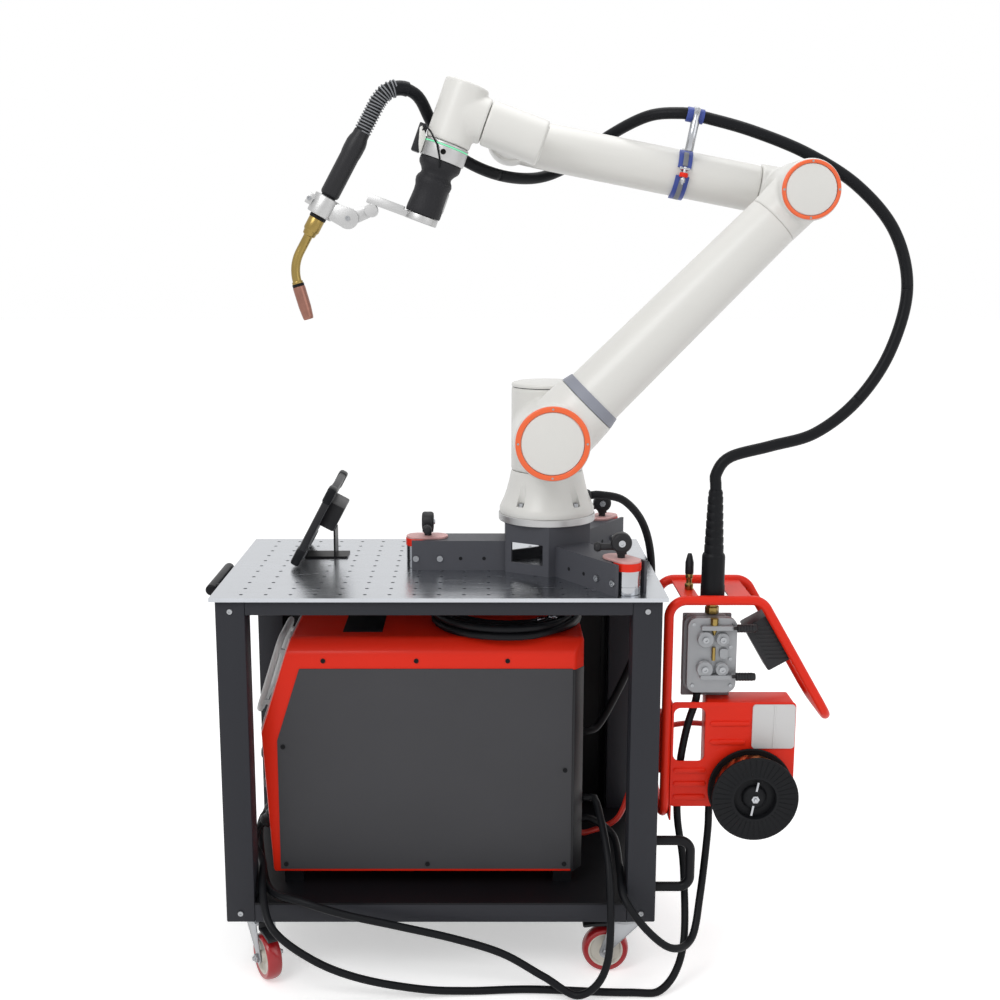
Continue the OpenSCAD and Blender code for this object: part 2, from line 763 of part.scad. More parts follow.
// Tool and torch

module tool_flange() color(grey_c) cell() on_tool() translate([0, 0, hand_face])
    drum(wrist_r, flange_len - hand_face, edge / 4);

module tool_grip() color(black_c) cell() on_tool() translate([0, 0, flange_len])
    rotate_extrude() polygon([[0, 0], [grip_top_r, 0], [grip_top_r, grip_lip], [grip_waist_r, grip_waist],
        [grip_r, grip_swell], [grip_r, grip_len], [0, grip_len]]);

module torch_bracket() color(grey_c) cell() {
    on_tool() translate([0, 0, flange_len + grip_len]) {
        drum(disc_r, disc_t, edge / 4);
        span([0, -link_w / 2, edge / 4], [knuckle_x, link_w / 2, disc_t]);
        translate([knuckle_x, 0, knuckle_z]) y_cyl(knuckle_r, -link_w / 2 - cut, link_w / 2 + cut);
        translate([tab_x, 0, tab_z]) y_cyl(tab_r, -link_t / 2 - cut, link_t / 2 + cut);
        translate([knuckle_x, 0, knuckle_z]) rotate([0, 90 - atan2(tab_z - knuckle_z, tab_x - knuckle_x), 0])
            translate([-knuckle_r / 2, -link_t / 2, 0])
                cube([knuckle_r, link_t, norm([tab_x - knuckle_x, tab_z - knuckle_z])]);
    }
    on_torch() difference() {
        union() {
            translate([0, 0, -clamp_half]) cylinder(r = clamp_r, h = 2 * clamp_half);
            translate([-clamp_arm, -clamp_w / 2, edge - clamp_half])
                cube([clamp_arm, clamp_w, 2 * (clamp_half - edge)]);
        }
        translate([0, 0, -clamp_half - cut]) cylinder(r = torch_r + seat_gap, h = 2 * (clamp_half + cut));
    }
}

module torch_handle() color(black_c) cell() on_torch() {
    translate([0, 0, -handle_from]) cylinder(r = torch_r, h = handle_from + collar_from);
    translate([0, 0, -handle_to]) drum(handle_r, handle_to - handle_from, edge);
    translate([0, 0, -boot_to]) cylinder(r = boot_r, h = boot_to - handle_to);
}

module torch_neck() color(brass_c) cell() on_torch() {
    translate([0, 0, collar_from]) cylinder(r = neck_collar_r, h = collar_to - collar_from);
    translate([0, 0, collar_to]) cylinder(r = neck_r, h = neck_to - collar_to);
    translate([-neck_bend_r, 0, neck_to]) rotate([90, 0, 0])
        rotate_extrude(angle = neck_bend) translate([neck_bend_r, 0]) circle(r = neck_r);
}

module at_neck_end() on_torch() translate([-neck_bend_r, 0, neck_to]) rotate([0, -neck_bend, 0])
    translate([neck_bend_r, 0, 0]) children();

module torch_nozzle() color(copper_c) cell() at_neck_end() difference() {
    cylinder(r1 = nozzle_r, r2 = nozzle_tip_r, h = nozzle_len);
    translate([0, 0, nozzle_len / 3]) cylinder(r = nozzle_bore, h = nozzle_len);
}

// Power source

module on_source() cell() translate([source_x, source_y, source_z]) children();

// Outline of the case in X and Z, with its nose towards -X
function case_outline() = [[-source_w / 2, 0], [-source_w / 2 - nose_low, nose_knee],
    [-source_w / 2 - nose_low + nose_top, source_h], [source_w / 2, source_h], [source_w / 2, 0]];

module y_prism(points, y0, y1) translate([0, y1, 0]) rotate([90, 0, 0])
    linear_extrude(y1 - y0) polygon(points);

module source_case() color(red_c) on_source() difference() {
    y_prism(case_outline(), -source_d / 2, source_d / 2);
    y_prism([[-source_w / 2 + case_wall, case_wall], [-source_w / 2 - nose_low + case_wall, nose_knee],
        [-source_w / 2 - nose_low + nose_top + case_wall, source_h - case_wall],
        [source_w / 2 - case_wall, source_h - case_wall], [source_w / 2 - case_wall, case_wall]],
        -source_d / 2 + case_wall, source_d / 2 - case_wall);
}

module source_side_panels() color(panel_c) on_source() for (s = [-1, 1])
    translate([0, s * (source_d + side_t) / 2, 0]) y_prism([
        [-source_w / 2 + side_in, side_in / 2], [-source_w / 2 + side_in, nose_knee - side_in],
        [-source_w / 2 + side_in + side_slope_in, source_h - side_top],
        [source_w / 2 - 2 * side_in, source_h - side_top], [source_w / 2 - 2 * side_in, side_in / 2]],
        -side_t / 2, side_t / 2);

module nose_strip() y_prism([
    [-source_w / 2, front_in], [-source_w / 2 - nose_low, nose_knee],
    [-source_w / 2 - nose_low + nose_top, source_h],
    [-source_w / 2 - nose_low + nose_top - front_t, source_h],
    [-source_w / 2 - nose_low - front_t, nose_knee], [-source_w / 2 - front_t, front_in]],
    -source_d / 2 + front_in, source_d / 2 - front_in);

// Bow along the nose's slope, with Z up the slope and its four stays
module carry_bow() {
    for (y = [-bow_w / 2, bow_w / 2 - bow_d])
        span([-bow_out - bow_d, y, bow_low], [-bow_out, y + bow_d, bow_high]);
    for (z = [bow_low, bow_high - bow_d]) {
        span([-bow_out - bow_d, -bow_w / 2, z], [-bow_out, bow_w / 2, z + bow_d]);
        for (y = [-bow_w / 2, bow_w / 2 - bow_d])
            span([-bow_out - bow_d, y, z], [bow_d, y + bow_d, z + bow_d]);
    }
}

module source_front() color(grey_c) on_source() difference() {
    union() {
        nose_strip();
        for (y = socket_ys) translate([-source_w / 2 - socket_out, y, socket_up])
            rotate([0, 45, 0]) cylinder(r = socket_r, h = socket_len);
        translate([-source_w / 2 - nose_low, 0, nose_knee])
            rotate([0, atan2(nose_top, source_h - nose_knee), 0]) carry_bow();
    }
    y_prism(case_outline(), -source_d / 2, source_d / 2);
}

module source_feet() color(black_c) cell() translate([source_x, source_y, shelf_top])
    four_corners(source_w / 2 - foot_in, source_d / 2 - foot_in)
        centred([foot_pad[0], foot_pad[1], source_foot_h]);

module cable_coil() color(black_c) cell() translate([coil_at[0], coil_at[1], source_z + source_h])
    rotate_extrude() translate([coil_r - coil_band, 0]) square([2 * coil_band, coil_h]);

// Wire feeder

// One tube loop in the XZ plane: an upright, a top run and a slope, with bends between
module tube_loop() {
    translate([loop_x, 0, loop_low]) cylinder(d = tube_d, h = loop_top - loop_corner - loop_low + cut);
    translate([loop_x + loop_corner, 0, loop_top - loop_corner]) rotate([90, 0, 0]) rotate([0, 0, 90])
        rotate_extrude(angle = 90) translate([loop_corner, 0]) circle(d = bend_d);
    translate([loop_x + loop_corner - cut, 0, loop_top]) rotate([0, 90, 0])
        cylinder(d = tube_d, h = loop_run + 2 * cut);
    translate([run_end, 0, loop_top - loop_corner]) rotate([90, 0, 0]) rotate([0, 0, 90 - fall_angle])
        rotate_extrude(angle = fall_angle) translate([loop_corner, 0]) circle(d = bend_d);
    translate(slope_p) rotate([0, 90 + fall_angle, 0]) translate([0, 0, -cut])
        cylinder(d = tube_d, h = slope_len + cut);
}

module feeder_frame() color(red_c) cell() {
    rear = loop_front + loop_gap;
    for (y = [loop_front, rear]) translate([0, y, 0]) tube_loop();
    translate(slope_end) y_cyl(tube_d / 2 + cut / 2, loop_front - tube_d / 2 - cut, rear + tube_d / 2 + cut);
    translate([loop_x, 0, loop_low])
        y_cyl(tube_d / 2 + cut / 2, loop_front - tube_d / 2 - cut, rear + tube_d / 2 + cut);
}

// Two sheets between the tops of the tube loops
module feeder_roof() color(red_c) cell() for (x = roof_x)
    span([x[0], loop_front + bend_d / 2 + seat_gap, loop_top - sheet_t / 2],
        [x[1], loop_front + loop_gap - bend_d / 2 - seat_gap, loop_top + sheet_t / 2]);

// Pressed panel with its control box behind, the hanging lug and the spool's spindle
module feeder_housing() color(red_c) cell() {
    difference() {
        span([panel_x[0], panel_y, panel_z[0]], [panel_x[1], panel_y + panel_t, panel_z[1]]);
        span([slot_x[0], panel_y - cut, slot_z[0]], [slot_x[1], panel_y + panel_t + cut, slot_z[1]]);
    }
    span([box_x, panel_y + panel_t, panel_z[0] + panel_t], [panel_x[1] - panel_t, box_y, panel_z[1]]);
    span([panel_x[0], loop_front, loop_low - tube_d / 2], [panel_x[0] + panel_t, lug_y[1], panel_z[1]]);
    span([frame_w / 2, lug_y[0], lug_z[0]], [panel_x[0], lug_y[1], lug_z[1]]);
    translate([spool_x, 0, spool_z]) y_cyl(spindle_d / 2, loop_front - spool_w, panel_y);
}

module feeder_cover() color(black_c) cell() translate(cover_at) rotate([0, cover_turn, 0])
    translate(-cover_size / 2) cube(cover_size);

module feeder_plate() color(grey_c) cell()
    span([plate_at[0], panel_y - plate_th, plate_z_at[0]], [plate_at[1], panel_y, plate_z_at[1]]);

module drive_unit() color(zinc_c) cell() {
    span([drive_x[0], drive_y[0], drive_z[0]], [drive_x[1], drive_y[1], drive_z[1]]);
    span([drive_x[0], drive_y[1], panel_z[1]], [drive_x[1], drive_y[1] + 2 * edge, drive_z[1]]);
    translate([feed_x, 0, (drive_z[0] + drive_z[1]) / 2]) y_cyl(motor_r, drive_y[1], motor_y);
}

module drive_rollers() color(steel_c) cell() {
    for (u = roller_ups, s = [-1, 1]) translate([feed_x + s * roller_dx, 0, drive_z[0] + u])
        y_drum(roller_r, drive_y[0] - roller_w, drive_y[0], edge / 4);
    for (u = knob_ups) translate([drive_x[1] - roller_w, drive_y[0] - knob_r - seat_gap, drive_z[0] + u])
        rotate([0, 90, 0]) drum(knob_r, knob_len, edge / 4);
}

module torch_socket() color(brass_c) cell() translate([feed_x, feed_y, drive_z[1]])
    cylinder(r = socket_body_r, h = socket_top - drive_z[1]);

module torch_boot() color(black_c) cell() translate([feed_x, feed_y, socket_top])
    cylinder(r1 = boot_low_r, r2 = boot_top_r, h = boot_top - socket_top);

module wire_spool() color(black_c) cell() translate([spool_x, 0, spool_z]) difference() {
    union() {
        y_cyl(spool_core_r, loop_front - spool_w, loop_front);
        for (y = [loop_front - spool_w, loop_front - spool_wall]) y_cyl(spool_d / 2, y, y + spool_wall);
    }
    y_cyl(spindle_d / 2 + run_gap, loop_front - spool_w - cut, loop_front + cut);
}

// Cables

module torch_hose_a() color(black_c) cell() route_tube(hose_a_route, hose_d);
module torch_hose_b() color(black_c) cell() route_tube(hose_b_route, hose_d);
module power_cable() color(black_c) cell() route_tube(power_route, cable_d);
module earth_cable() color(black_c) cell() route_tube(earth_route, cable_d);
module robot_cable() color(black_c) cell() route_tube(robot_route, robot_cable_d);
module control_cable() color(black_c) cell() route_tube(control_route, cable_d);
module gas_hose() color(red_c) cell() route_tube(gas_route, gas_hose_d);

table_top();
corner_posts();
frame_rails();
bottom_shelf();
castor_plates();
push_handle();
cable_hanger();
tripod();
magnet_feet();
tablet();
tablet_stand();
source_case();
source_side_panels();
source_front();
source_feet();
cable_coil();
feeder_frame();
feeder_roof();
feeder_housing();
feeder_cover();
feeder_plate();
drive_unit();
drive_rollers();
torch_socket();
torch_boot();
robot_foot();
foot_ring();
turret();
shoulder_housing();
arm_band();
upper_arm_tube();
elbow_housing();
joint_covers();
forearm_elbow();
forearm_tube();
hose_bracket();
wrist_one();
wrist_two();
tool_flange();
tool_grip();
torch_bracket();
torch_handle();
torch_neck();
torch_nozzle();
castor_fork_1();
castor_fork_2();
castor_fork_3();
castor_fork_4();
castor_wheel_1();
castor_wheel_2();
castor_wheel_3();
castor_wheel_4();
wire_spool();
torch_hose_a();
torch_hose_b();
power_cable();
earth_cable();
robot_cable();
control_cable();
gas_hose();
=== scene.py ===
import math
import bpy
import bmesh
from mathutils import Matrix, Vector


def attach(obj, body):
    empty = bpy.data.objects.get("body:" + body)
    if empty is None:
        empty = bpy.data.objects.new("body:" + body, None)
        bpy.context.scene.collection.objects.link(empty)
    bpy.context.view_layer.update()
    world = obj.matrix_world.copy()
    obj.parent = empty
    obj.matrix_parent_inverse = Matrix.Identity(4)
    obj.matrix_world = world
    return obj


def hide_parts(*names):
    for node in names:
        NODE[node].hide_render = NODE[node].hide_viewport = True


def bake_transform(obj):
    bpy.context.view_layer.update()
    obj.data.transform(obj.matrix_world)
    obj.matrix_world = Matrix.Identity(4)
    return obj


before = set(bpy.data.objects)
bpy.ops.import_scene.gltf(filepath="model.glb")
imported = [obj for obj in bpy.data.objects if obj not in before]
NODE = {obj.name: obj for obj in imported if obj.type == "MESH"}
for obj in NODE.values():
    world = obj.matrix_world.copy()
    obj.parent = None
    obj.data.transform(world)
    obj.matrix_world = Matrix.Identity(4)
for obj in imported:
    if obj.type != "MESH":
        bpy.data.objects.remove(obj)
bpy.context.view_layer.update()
scene = bpy.context.scene

# The cart's own frame, in millimetres, with its middle this far along X in the row frame
CELL_X = -159
CELL = Matrix.Translation((CELL_X, 0, 0))
METRES = Matrix.Scale(0.001, 4)
# Turns that lay Z along the cart's depth or its length
ALONG_Y = Matrix.Rotation(math.radians(-90), 4, "X")
ALONG_X = Matrix.Rotation(math.radians(90), 4, "Y")

# Places that several pieces share
TABLE_W = 920
TABLE_D = 560
TABLE_T = 8
TABLE_Z = 845
PLATE_Z = TABLE_Z - TABLE_T
FRAME_Z = 140
POST_X = 420
POST_Y = 240
POST_HALF = 30
ROBOT_X = 228
FOOT_Z = 968
FEED_X = 568
FEED_Y = -160


def shift(x, y, z):
    return Matrix.Translation((x, y, z))


def up(z):
    return shift(0, 0, z)


def at(x, y, z):
    """A place on the cart."""
    return CELL @ shift(x, y, z)


def turn(degrees, axis):
    return Matrix.Rotation(math.radians(degrees), 4, axis)


def polar(r, degrees):
    """The two coordinates of a point on a circle."""
    return r * math.cos(math.radians(degrees)), r * math.sin(math.radians(degrees))


def mm(x, y, z):
    """A point of the cart, in millimetres, as metres in the row frame."""
    return Vector(((x + CELL_X) / 1000, y / 1000, z / 1000))


def srgb(r, g, b):
    """Display values from 0 to 255 as linear colour."""
    out = []
    for c in (r, g, b):
        c = c / 255
        out.append(c / 12.92 if c <= 0.04045 else ((c + 0.055) / 1.055) ** 2.4)
    return (*out, 1.0)


def placed(name, data):
    """An object with its data, linked to the scene."""
    ob = bpy.data.objects.new(name, data)
    scene.collection.objects.link(ob)
    return ob


# Camera at the photograph's place
cam_data = bpy.data.cameras.new("camera")
cam_data.sensor_width = 36.0
cam_data.lens = 46.69
cam_data.shift_x = 0.017
cam_data.clip_end = 50
cam = placed("camera", cam_data)
cam.location = mm(88.7, -2788.5, 1511.2)
cam.rotation_euler = (math.radians(90 - 10.53), 0, 0)
scene.camera = cam


# Nodes of finishes and of trees

def fill(t, node, inputs):
    """Links or sets a node's inputs."""
    for key, value in inputs.items():
        if isinstance(value, bpy.types.NodeSocket):
            t.links.new(value, node.inputs[key])
        else:
            node.inputs[key].default_value = value


def step(t, kind, inputs, **settings):
    """The outputs of one new node with these inputs."""
    node = t.nodes.new(kind)
    for key, value in settings.items():
        setattr(node, key, value)
    fill(t, node, inputs)
    return node.outputs


def maths(t, operation, a, b):
    return step(t, "ShaderNodeMath", {0: a, 1: b}, operation=operation)[0]


# Finishes

def surface(name, color, rough=0.5, metal=0.0, tint=0.08, scale=6.0, bump=0.0, bump_scale=300.0,
            coat=0.0, stretch=(1, 1, 1), spread=0.12, glow=0.0, gloss=0.5):
    """A finish whose colour, roughness and height vary with noise on object coordinates."""
    m = bpy.data.materials.new(name)
    m.use_nodes = True
    t = m.node_tree
    coord = step(t, "ShaderNodeTexCoord", {})["Object"]
    place = step(t, "ShaderNodeMapping", {"Vector": coord, "Scale": stretch})["Vector"]
    noise = step(t, "ShaderNodeTexNoise", {"Vector": place, "Scale": scale, "Detail": 5.0,
                                           "Roughness": 0.6})["Fac"]
    dark = [c * (1 - tint) for c in color[:3]]
    light = [min(1.0, c * (1 + tint)) for c in color[:3]]
    mix = step(t, "ShaderNodeMix", {0: noise, 6: (*dark, 1), 7: (*light, 1)}, data_type="RGBA")
    smooth = max(0.02, rough - spread / 2)
    coarse = min(1.0, rough + spread / 2)
    span = step(t, "ShaderNodeMapRange", {"Value": noise, "To Min": smooth, "To Max": coarse})
    bsdf = t.nodes["Principled BSDF"]
    fill(t, bsdf, {"Base Color": mix[2], "Roughness": span["Result"], "Metallic": metal,
                   "Specular IOR Level": gloss, "Coat Weight": coat, "Coat Roughness": 0.15})
    if glow:
        fill(t, bsdf, {"Emission Color": color, "Emission Strength": glow})
    if bump:
        fine = step(t, "ShaderNodeTexNoise", {"Vector": place, "Scale": bump_scale, "Detail": 3.0})["Fac"]
        height = step(t, "ShaderNodeBump", {"Strength": bump, "Distance": 0.001, "Height": fine})
        fill(t, bsdf, {"Normal": height["Normal"]})
    return m


M = {}


def finish(look, slot, name, rgb, **how):
    """One finish of the cell; the slot argument is not used."""
    M[look] = surface(name, srgb(*rgb), **how)


finish("white", "robot_white", "robot_white", (219, 218, 214), rough=0.42, tint=0.02, bump=0.06,
       bump_scale=900, coat=0.15)
finish("orange", "robot_orange", "robot_orange", (238, 100, 46), rough=0.4, tint=0.05, coat=0.2)
finish("slate", "robot_slate", "robot_slate", (136, 139, 150), rough=0.5, tint=0.04, bump=0.1,
       bump_scale=900)
finish("alu", "bare_aluminium", "bare_aluminium", (186, 186, 186), rough=0.42, metal=1.0, tint=0.05,
       scale=40, stretch=(1, 1, 8))
finish("charcoal", "charcoal", "charcoal_coat", (36, 37, 43), rough=0.55, tint=0.08, bump=0.25,
       bump_scale=1400, gloss=0.3)
finish("tripod", "charcoal", "tripod_coat", (67, 68, 74), rough=0.5, tint=0.08, bump=0.2, bump_scale=1200,
       gloss=0.35)
finish("table", "table_steel", "table_steel", (192, 195, 200), rough=0.25, metal=1.0, tint=0.1, scale=9,
       spread=0.14, bump=0.04, bump_scale=400, stretch=(1, 7, 1))
finish("zinc", "zinc", "zinc_plate", (164, 166, 169), rough=0.3, metal=1.0, tint=0.08, scale=30)
finish("steel", "magnet", "ground_steel", (178, 180, 184), rough=0.16, metal=1.0, tint=0.06, scale=50)
finish("black", "black_plastic", "black_plastic", (30, 30, 33), rough=0.45, tint=0.15, bump=0.15,
       bump_scale=900, gloss=0.3)
finish("black_metal", "black_metal", "black_coat", (20, 20, 23), rough=0.4, tint=0.15, bump=0.1,
       bump_scale=1200, gloss=0.15)
finish("rubber", "black_rubber", "black_rubber", (20, 21, 24), rough=0.42, tint=0.2, scale=25, bump=0.2,
       bump_scale=500, gloss=0.13)
finish("leather", "black_rubber", "grip_cover", (24, 24, 28), rough=0.55, tint=0.25, scale=60, bump=0.8,
       bump_scale=420, gloss=0.3)
finish("grey", "grey_plastic", "grey_plastic", (208, 208, 208), rough=0.45, tint=0.04)
finish("red", "red_paint", "red_coat", (226, 40, 16), rough=0.42, tint=0.06, coat=0.06, bump=0.04,
       bump_scale=700, gloss=0.22)
finish("panel", "grey_panel", "panel_coat", (64, 64, 67), rough=0.6, tint=0.12, bump=0.5, bump_scale=1500,
       gloss=0.3)
finish("cast", "cast_drive", "cast_aluminium", (152, 154, 157), rough=0.5, metal=0.6, tint=0.1, scale=30,
       bump=0.3, bump_scale=600)
finish("gearbox", "cast_drive", "gearbox_grey", (120, 122, 126), rough=0.5, tint=0.08, bump=0.2,
       bump_scale=800)
finish("brass", "brass", "brass", (152, 130, 76), rough=0.32, metal=1.0, tint=0.14, scale=30)
finish("copper", "copper", "dull_copper", (148, 106, 94), rough=0.36, metal=1.0, tint=0.28, scale=60)
finish("wire", "copper", "copper_wire", (176, 108, 70), rough=0.35, metal=1.0, tint=0.12, scale=80)
finish("tread", "tread", "red_tread", (170, 22, 30), rough=0.3, tint=0.08, coat=0.3)
finish("hub", "grey_plastic", "pale_hub", (214, 210, 200), rough=0.45, tint=0.06)
finish("pink", "magnet", "magnet_top", (206, 160, 158), rough=0.5, tint=0.06, scale=40)
# Near-black finish: the own colour of the dark parts it covers, and painted shade where flat discs of it
# stand for the holes in the tripod's arms
finish("dark", "black_plastic", "near_black_and_hole_shade", (16, 17, 20), rough=0.6, tint=0.2, gloss=0.18)
finish("glass", "black_plastic", "screen_glass", (14, 16, 20), rough=0.08, tint=0.2, coat=0.6)
finish("led", "grey_plastic", "status_light", (116, 214, 164), rough=0.4, tint=0.05, glow=0.45)
finish("blue", "black_plastic", "blue_pad", (52, 72, 150), rough=0.45, tint=0.1)
finish("red_hose", "red_rubber", "red_hose", (200, 44, 30), rough=0.42, tint=0.1, scale=30)

# Finish of each CAD node that shows as it is
# The bottom shelf node, with the back sheet, takes the black coat, darker than its own charcoal, as painted
# shade inside the cart
LOOK = {
    "bottom_shelf": "black_metal", "castor_plates": "zinc", "cable_hanger": "black_metal",
    "tripod": "tripod", "tablet_stand": "black_metal", "source_feet": "rubber",
    "feeder_roof": "red", "foot_ring": "alu", "arm_band": "slate", "upper_arm_tube": "white",
}
for name in NODE:
    slots = NODE[name].data.materials
    slots.clear()
    slots.append(M[LOOK.get(name, "grey")])


# Shapes, in millimetres of a local frame

def ring(bm, r, z, m, seg):
    if r < 0.001:
        return [bm.verts.new(m @ Vector((0, 0, z)))]
    angles = [2 * math.pi * k / seg for k in range(seg)]
    return [bm.verts.new(m @ Vector((r * math.cos(a), r * math.sin(a), z))) for a in angles]


def lathe(bm, profile, m=Matrix(), seg=64, closed=False):
    """A turned shape: points of radius and height, from the axis back to it or as a closed loop."""
    rings = [ring(bm, r, z, m, seg) for r, z in profile]
    pairs = list(zip(rings, rings[1:]))
    if closed:
        pairs.append((rings[-1], rings[0]))
    for a, b in pairs:
        for k in range(seg):
            n = (k + 1) % seg
            face = [a[k % len(a)], a[n % len(a)], b[n % len(b)], b[k % len(b)]]
            face = list(dict.fromkeys(face))
            if len(face) > 2:
                bm.faces.new(face)


def drum(r, h, rim=3.0):
    """Profile of a solid drum with rounded rims."""
    sweep = [math.radians(a) for a in range(0, 91, 18)]
    low = [(r - rim + rim * math.sin(a), rim - rim * math.cos(a)) for a in sweep]
    return [(0, 0)] + low + [(x, h - z) for x, z in reversed(low)] + [(0, h)]


def collar(r_in, r_out, h, rim=1.0):
    """Profile loop of a ring with chamfered outer rims."""
    return [(r_in, 0), (r_out - rim, 0), (r_out, rim), (r_out, h - rim), (r_out - rim, h), (r_in, h)]


def block(bm, low, high, m=Matrix()):
    v = [bm.verts.new(m @ Vector((x, y, z))) for x in (low[0], high[0]) for y in (low[1], high[1])
         for z in (low[2], high[2])]
    for f in ((0, 1, 3, 2), (4, 6, 7, 5), (0, 4, 5, 1), (2, 3, 7, 6), (0, 2, 6, 4), (1, 5, 7, 3)):
        bm.faces.new([v[i] for i in f])


def plate(bm, outline, y0, y1, m=Matrix()):
    """An outline in X and Z, made thick along Y."""
    low = [bm.verts.new(m @ Vector((x, y0, z))) for x, z in outline]
    high = [bm.verts.new(m @ Vector((x, y1, z))) for x, z in outline]
    n = len(outline)
    for i in range(n):
        bm.faces.new((low[i], low[(i + 1) % n], high[(i + 1) % n], high[i]))
    bm.faces.new(low)
    bm.faces.new(high[::-1])


def arc(cx, cz, r, a0, a1, steps=8):
    """Points along an arc between two angles in degrees."""
    offsets = [polar(r, a0 + (a1 - a0) * k / steps) for k in range(steps + 1)]
    return [(cx + x, cz + z) for x, z in offsets]


def round_box(x0, z0, x1, z1, r):
    """Outline of a rectangle with round corners."""
    corners = ((x1 - r, z1 - r, 0), (x0 + r, z1 - r, 90), (x0 + r, z0 + r, 180), (x1 - r, z0 + r, 270))
    return [p for x, z, a in corners for p in arc(x, z, r, a, a + 90)]


def rounded_path(points, radius, closed=False, steps=8):
    """A polyline with each corner turned into an arc."""
    pts = [Vector(p) for p in points]
    n = len(pts)
    out = []
    for i, p in enumerate(pts):
        if not closed and i in (0, n - 1):
            out.append(p)
            continue
        a = (pts[i - 1] - p).normalized()
        b = (pts[(i + 1) % n] - p).normalized()
        half = a.angle(b) / 2
        reach = radius / math.tan(half)
        centre = p + (a + b).normalized() * (radius / math.sin(half))
        start = p + a * reach - centre
        end = p + b * reach - centre
        sweep = start.angle(end)
        for k in range(steps + 1):
            t = k / steps
            mixed = start * math.sin((1 - t) * sweep) + end * math.sin(t * sweep)
            out.append(centre + mixed / math.sin(sweep))
    return out


def tube_mesh(pts, radius, sides=16, closed=False):
    """Rings of points square to a line, with faces between them, and caps on an open line."""
    verts = []
    faces = []
    side = None
    n = len(pts)
    for i, p in enumerate(pts):
        ahead = pts[(i + 1) % n] if closed else pts[min(i + 1, n - 1)]
        behind = pts[i - 1] if closed else pts[max(i - 1, 0)]
        d = (ahead - behind).normalized()
        if side is None:
            side = d.cross(Vector((0, 1, 0)) if abs(d.y) < 0.9 else Vector((1, 0, 0)))
        side = (side - side.dot(d) * d).normalized()
        across = d.cross(side)
        for k in range(sides):
            a = 2 * math.pi * k / sides
            verts.append(p + radius * (math.cos(a) * side + math.sin(a) * across))
    for i in range(n if closed else n - 1):
        j = (i + 1) % n
        for k in range(sides):
            m = (k + 1) % sides
            faces.append((i * sides + k, i * sides + m, j * sides + m, j * sides + k))
    if not closed:
        faces.append(tuple(range(sides))[::-1])
        faces.append(tuple((n - 1) * sides + k for k in range(sides)))
    return verts, faces


def tube(bm, pts, radius, m=Matrix(), sides=16, closed=False):
    verts, faces = tube_mesh(pts, radius, sides, closed)
    made = [bm.verts.new(m @ v) for v in verts]
    for f in faces:
        bm.faces.new([made[i] for i in f])


def settle(ob):
    """Turns an object's modifiers into its plain mesh."""
    look = ob.data.materials[0] if ob.data.materials else None
    me = bpy.data.meshes.new_from_object(ob.evaluated_get(bpy.context.evaluated_depsgraph_get()))
    ob.modifiers.clear()
    ob.data = me
    if look and not me.materials:
        me.materials.append(look)


def mesh_of(name, bm):
    """A plain mesh in metres from a mesh in row millimetres."""
    bmesh.ops.recalc_face_normals(bm, faces=bm.faces)
    me = bpy.data.meshes.new(name)
    bm.to_mesh(me)
    bm.free()
    me.transform(METRES)
    return me


def dress(ob, body, nodes, sharp):
    """Shades a piece, hangs it on its body and hides the nodes that it stands for."""
    ob.data.shade_smooth()
    if sharp:
        ob.data.set_sharp_from_angle(angle=math.radians(sharp))
    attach(ob, body)
    if nodes:
        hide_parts(*nodes)
    return ob


def piece(name, bm, look, body, bevel=0.0, nodes=(), cast=0.0, sharp=35, cutter=None):
    """A finished piece from a mesh in row millimetres: cast, cut, bevelled and riding on its body."""
    ob = placed(name, mesh_of(name, bm))
    ob.data.materials.append(M[look])
    if cast:
        skin = ob.modifiers.new("skin", "REMESH")
        skin.mode = "VOXEL"
        skin.voxel_size = cast / 1000
        soft = ob.modifiers.new("soft", "SMOOTH")
        soft.factor = 0.5
        soft.iterations = 10
    if cutter:
        tool = placed(name + "_cut", mesh_of(name + "_cut", cutter))
        cut = ob.modifiers.new("cut", "BOOLEAN")
        cut.object = tool
        cut.solver = "EXACT"
    if bevel:
        edge = ob.modifiers.new("edge", "BEVEL")
        edge.width = bevel / 1000
        edge.segments = 2
        edge.limit_method = "ANGLE"
        edge.angle_limit = math.radians(40)
    if ob.modifiers:
        settle(ob)
    if cutter:
        bpy.data.objects.remove(tool)
    return dress(ob, body, nodes, None if cast else sharp)


def turned_piece(name, look, body, profile, m, seg=64, closed=False, **how):
    """A piece that is one turned shape."""
    bm = bmesh.new()
    lathe(bm, profile, m, seg, closed)
    return piece(name, bm, look, body, **how)


def plate_piece(name, look, body, outline, y0, y1, m, **how):
    """A piece that is one plate."""
    bm = bmesh.new()
    plate(bm, outline, y0, y1, m)
    return piece(name, bm, look, body, **how)


def block_piece(name, look, body, low, high, m, **how):
    """A piece that is one block."""
    bm = bmesh.new()
    block(bm, low, high, m)
    return piece(name, bm, look, body, **how)


# Node trees for what repeats

def tree(name, inputs):
    """A geometry tree with a geometry in and out and named inputs."""
    t = bpy.data.node_groups.new(name, "GeometryNodeTree")
    t.interface.new_socket("Geometry", in_out="INPUT", socket_type="NodeSocketGeometry")
    t.interface.new_socket("Geometry", in_out="OUTPUT", socket_type="NodeSocketGeometry")
    for label, kind in inputs:
        t.interface.new_socket(label, in_out="INPUT", socket_type="NodeSocket" + kind)
    return t, t.nodes.new("NodeGroupInput").outputs


def close_tree(t, geometry, material):
    """Realizes what a tree has made, gives it its finish and sends it out."""
    real = step(t, "GeometryNodeRealizeInstances", {"Geometry": geometry})["Geometry"]
    done = step(t, "GeometryNodeSetMaterial", {"Geometry": real, "Material": material})["Geometry"]
    t.links.new(done, t.nodes.new("NodeGroupOutput").inputs[0])
    return t


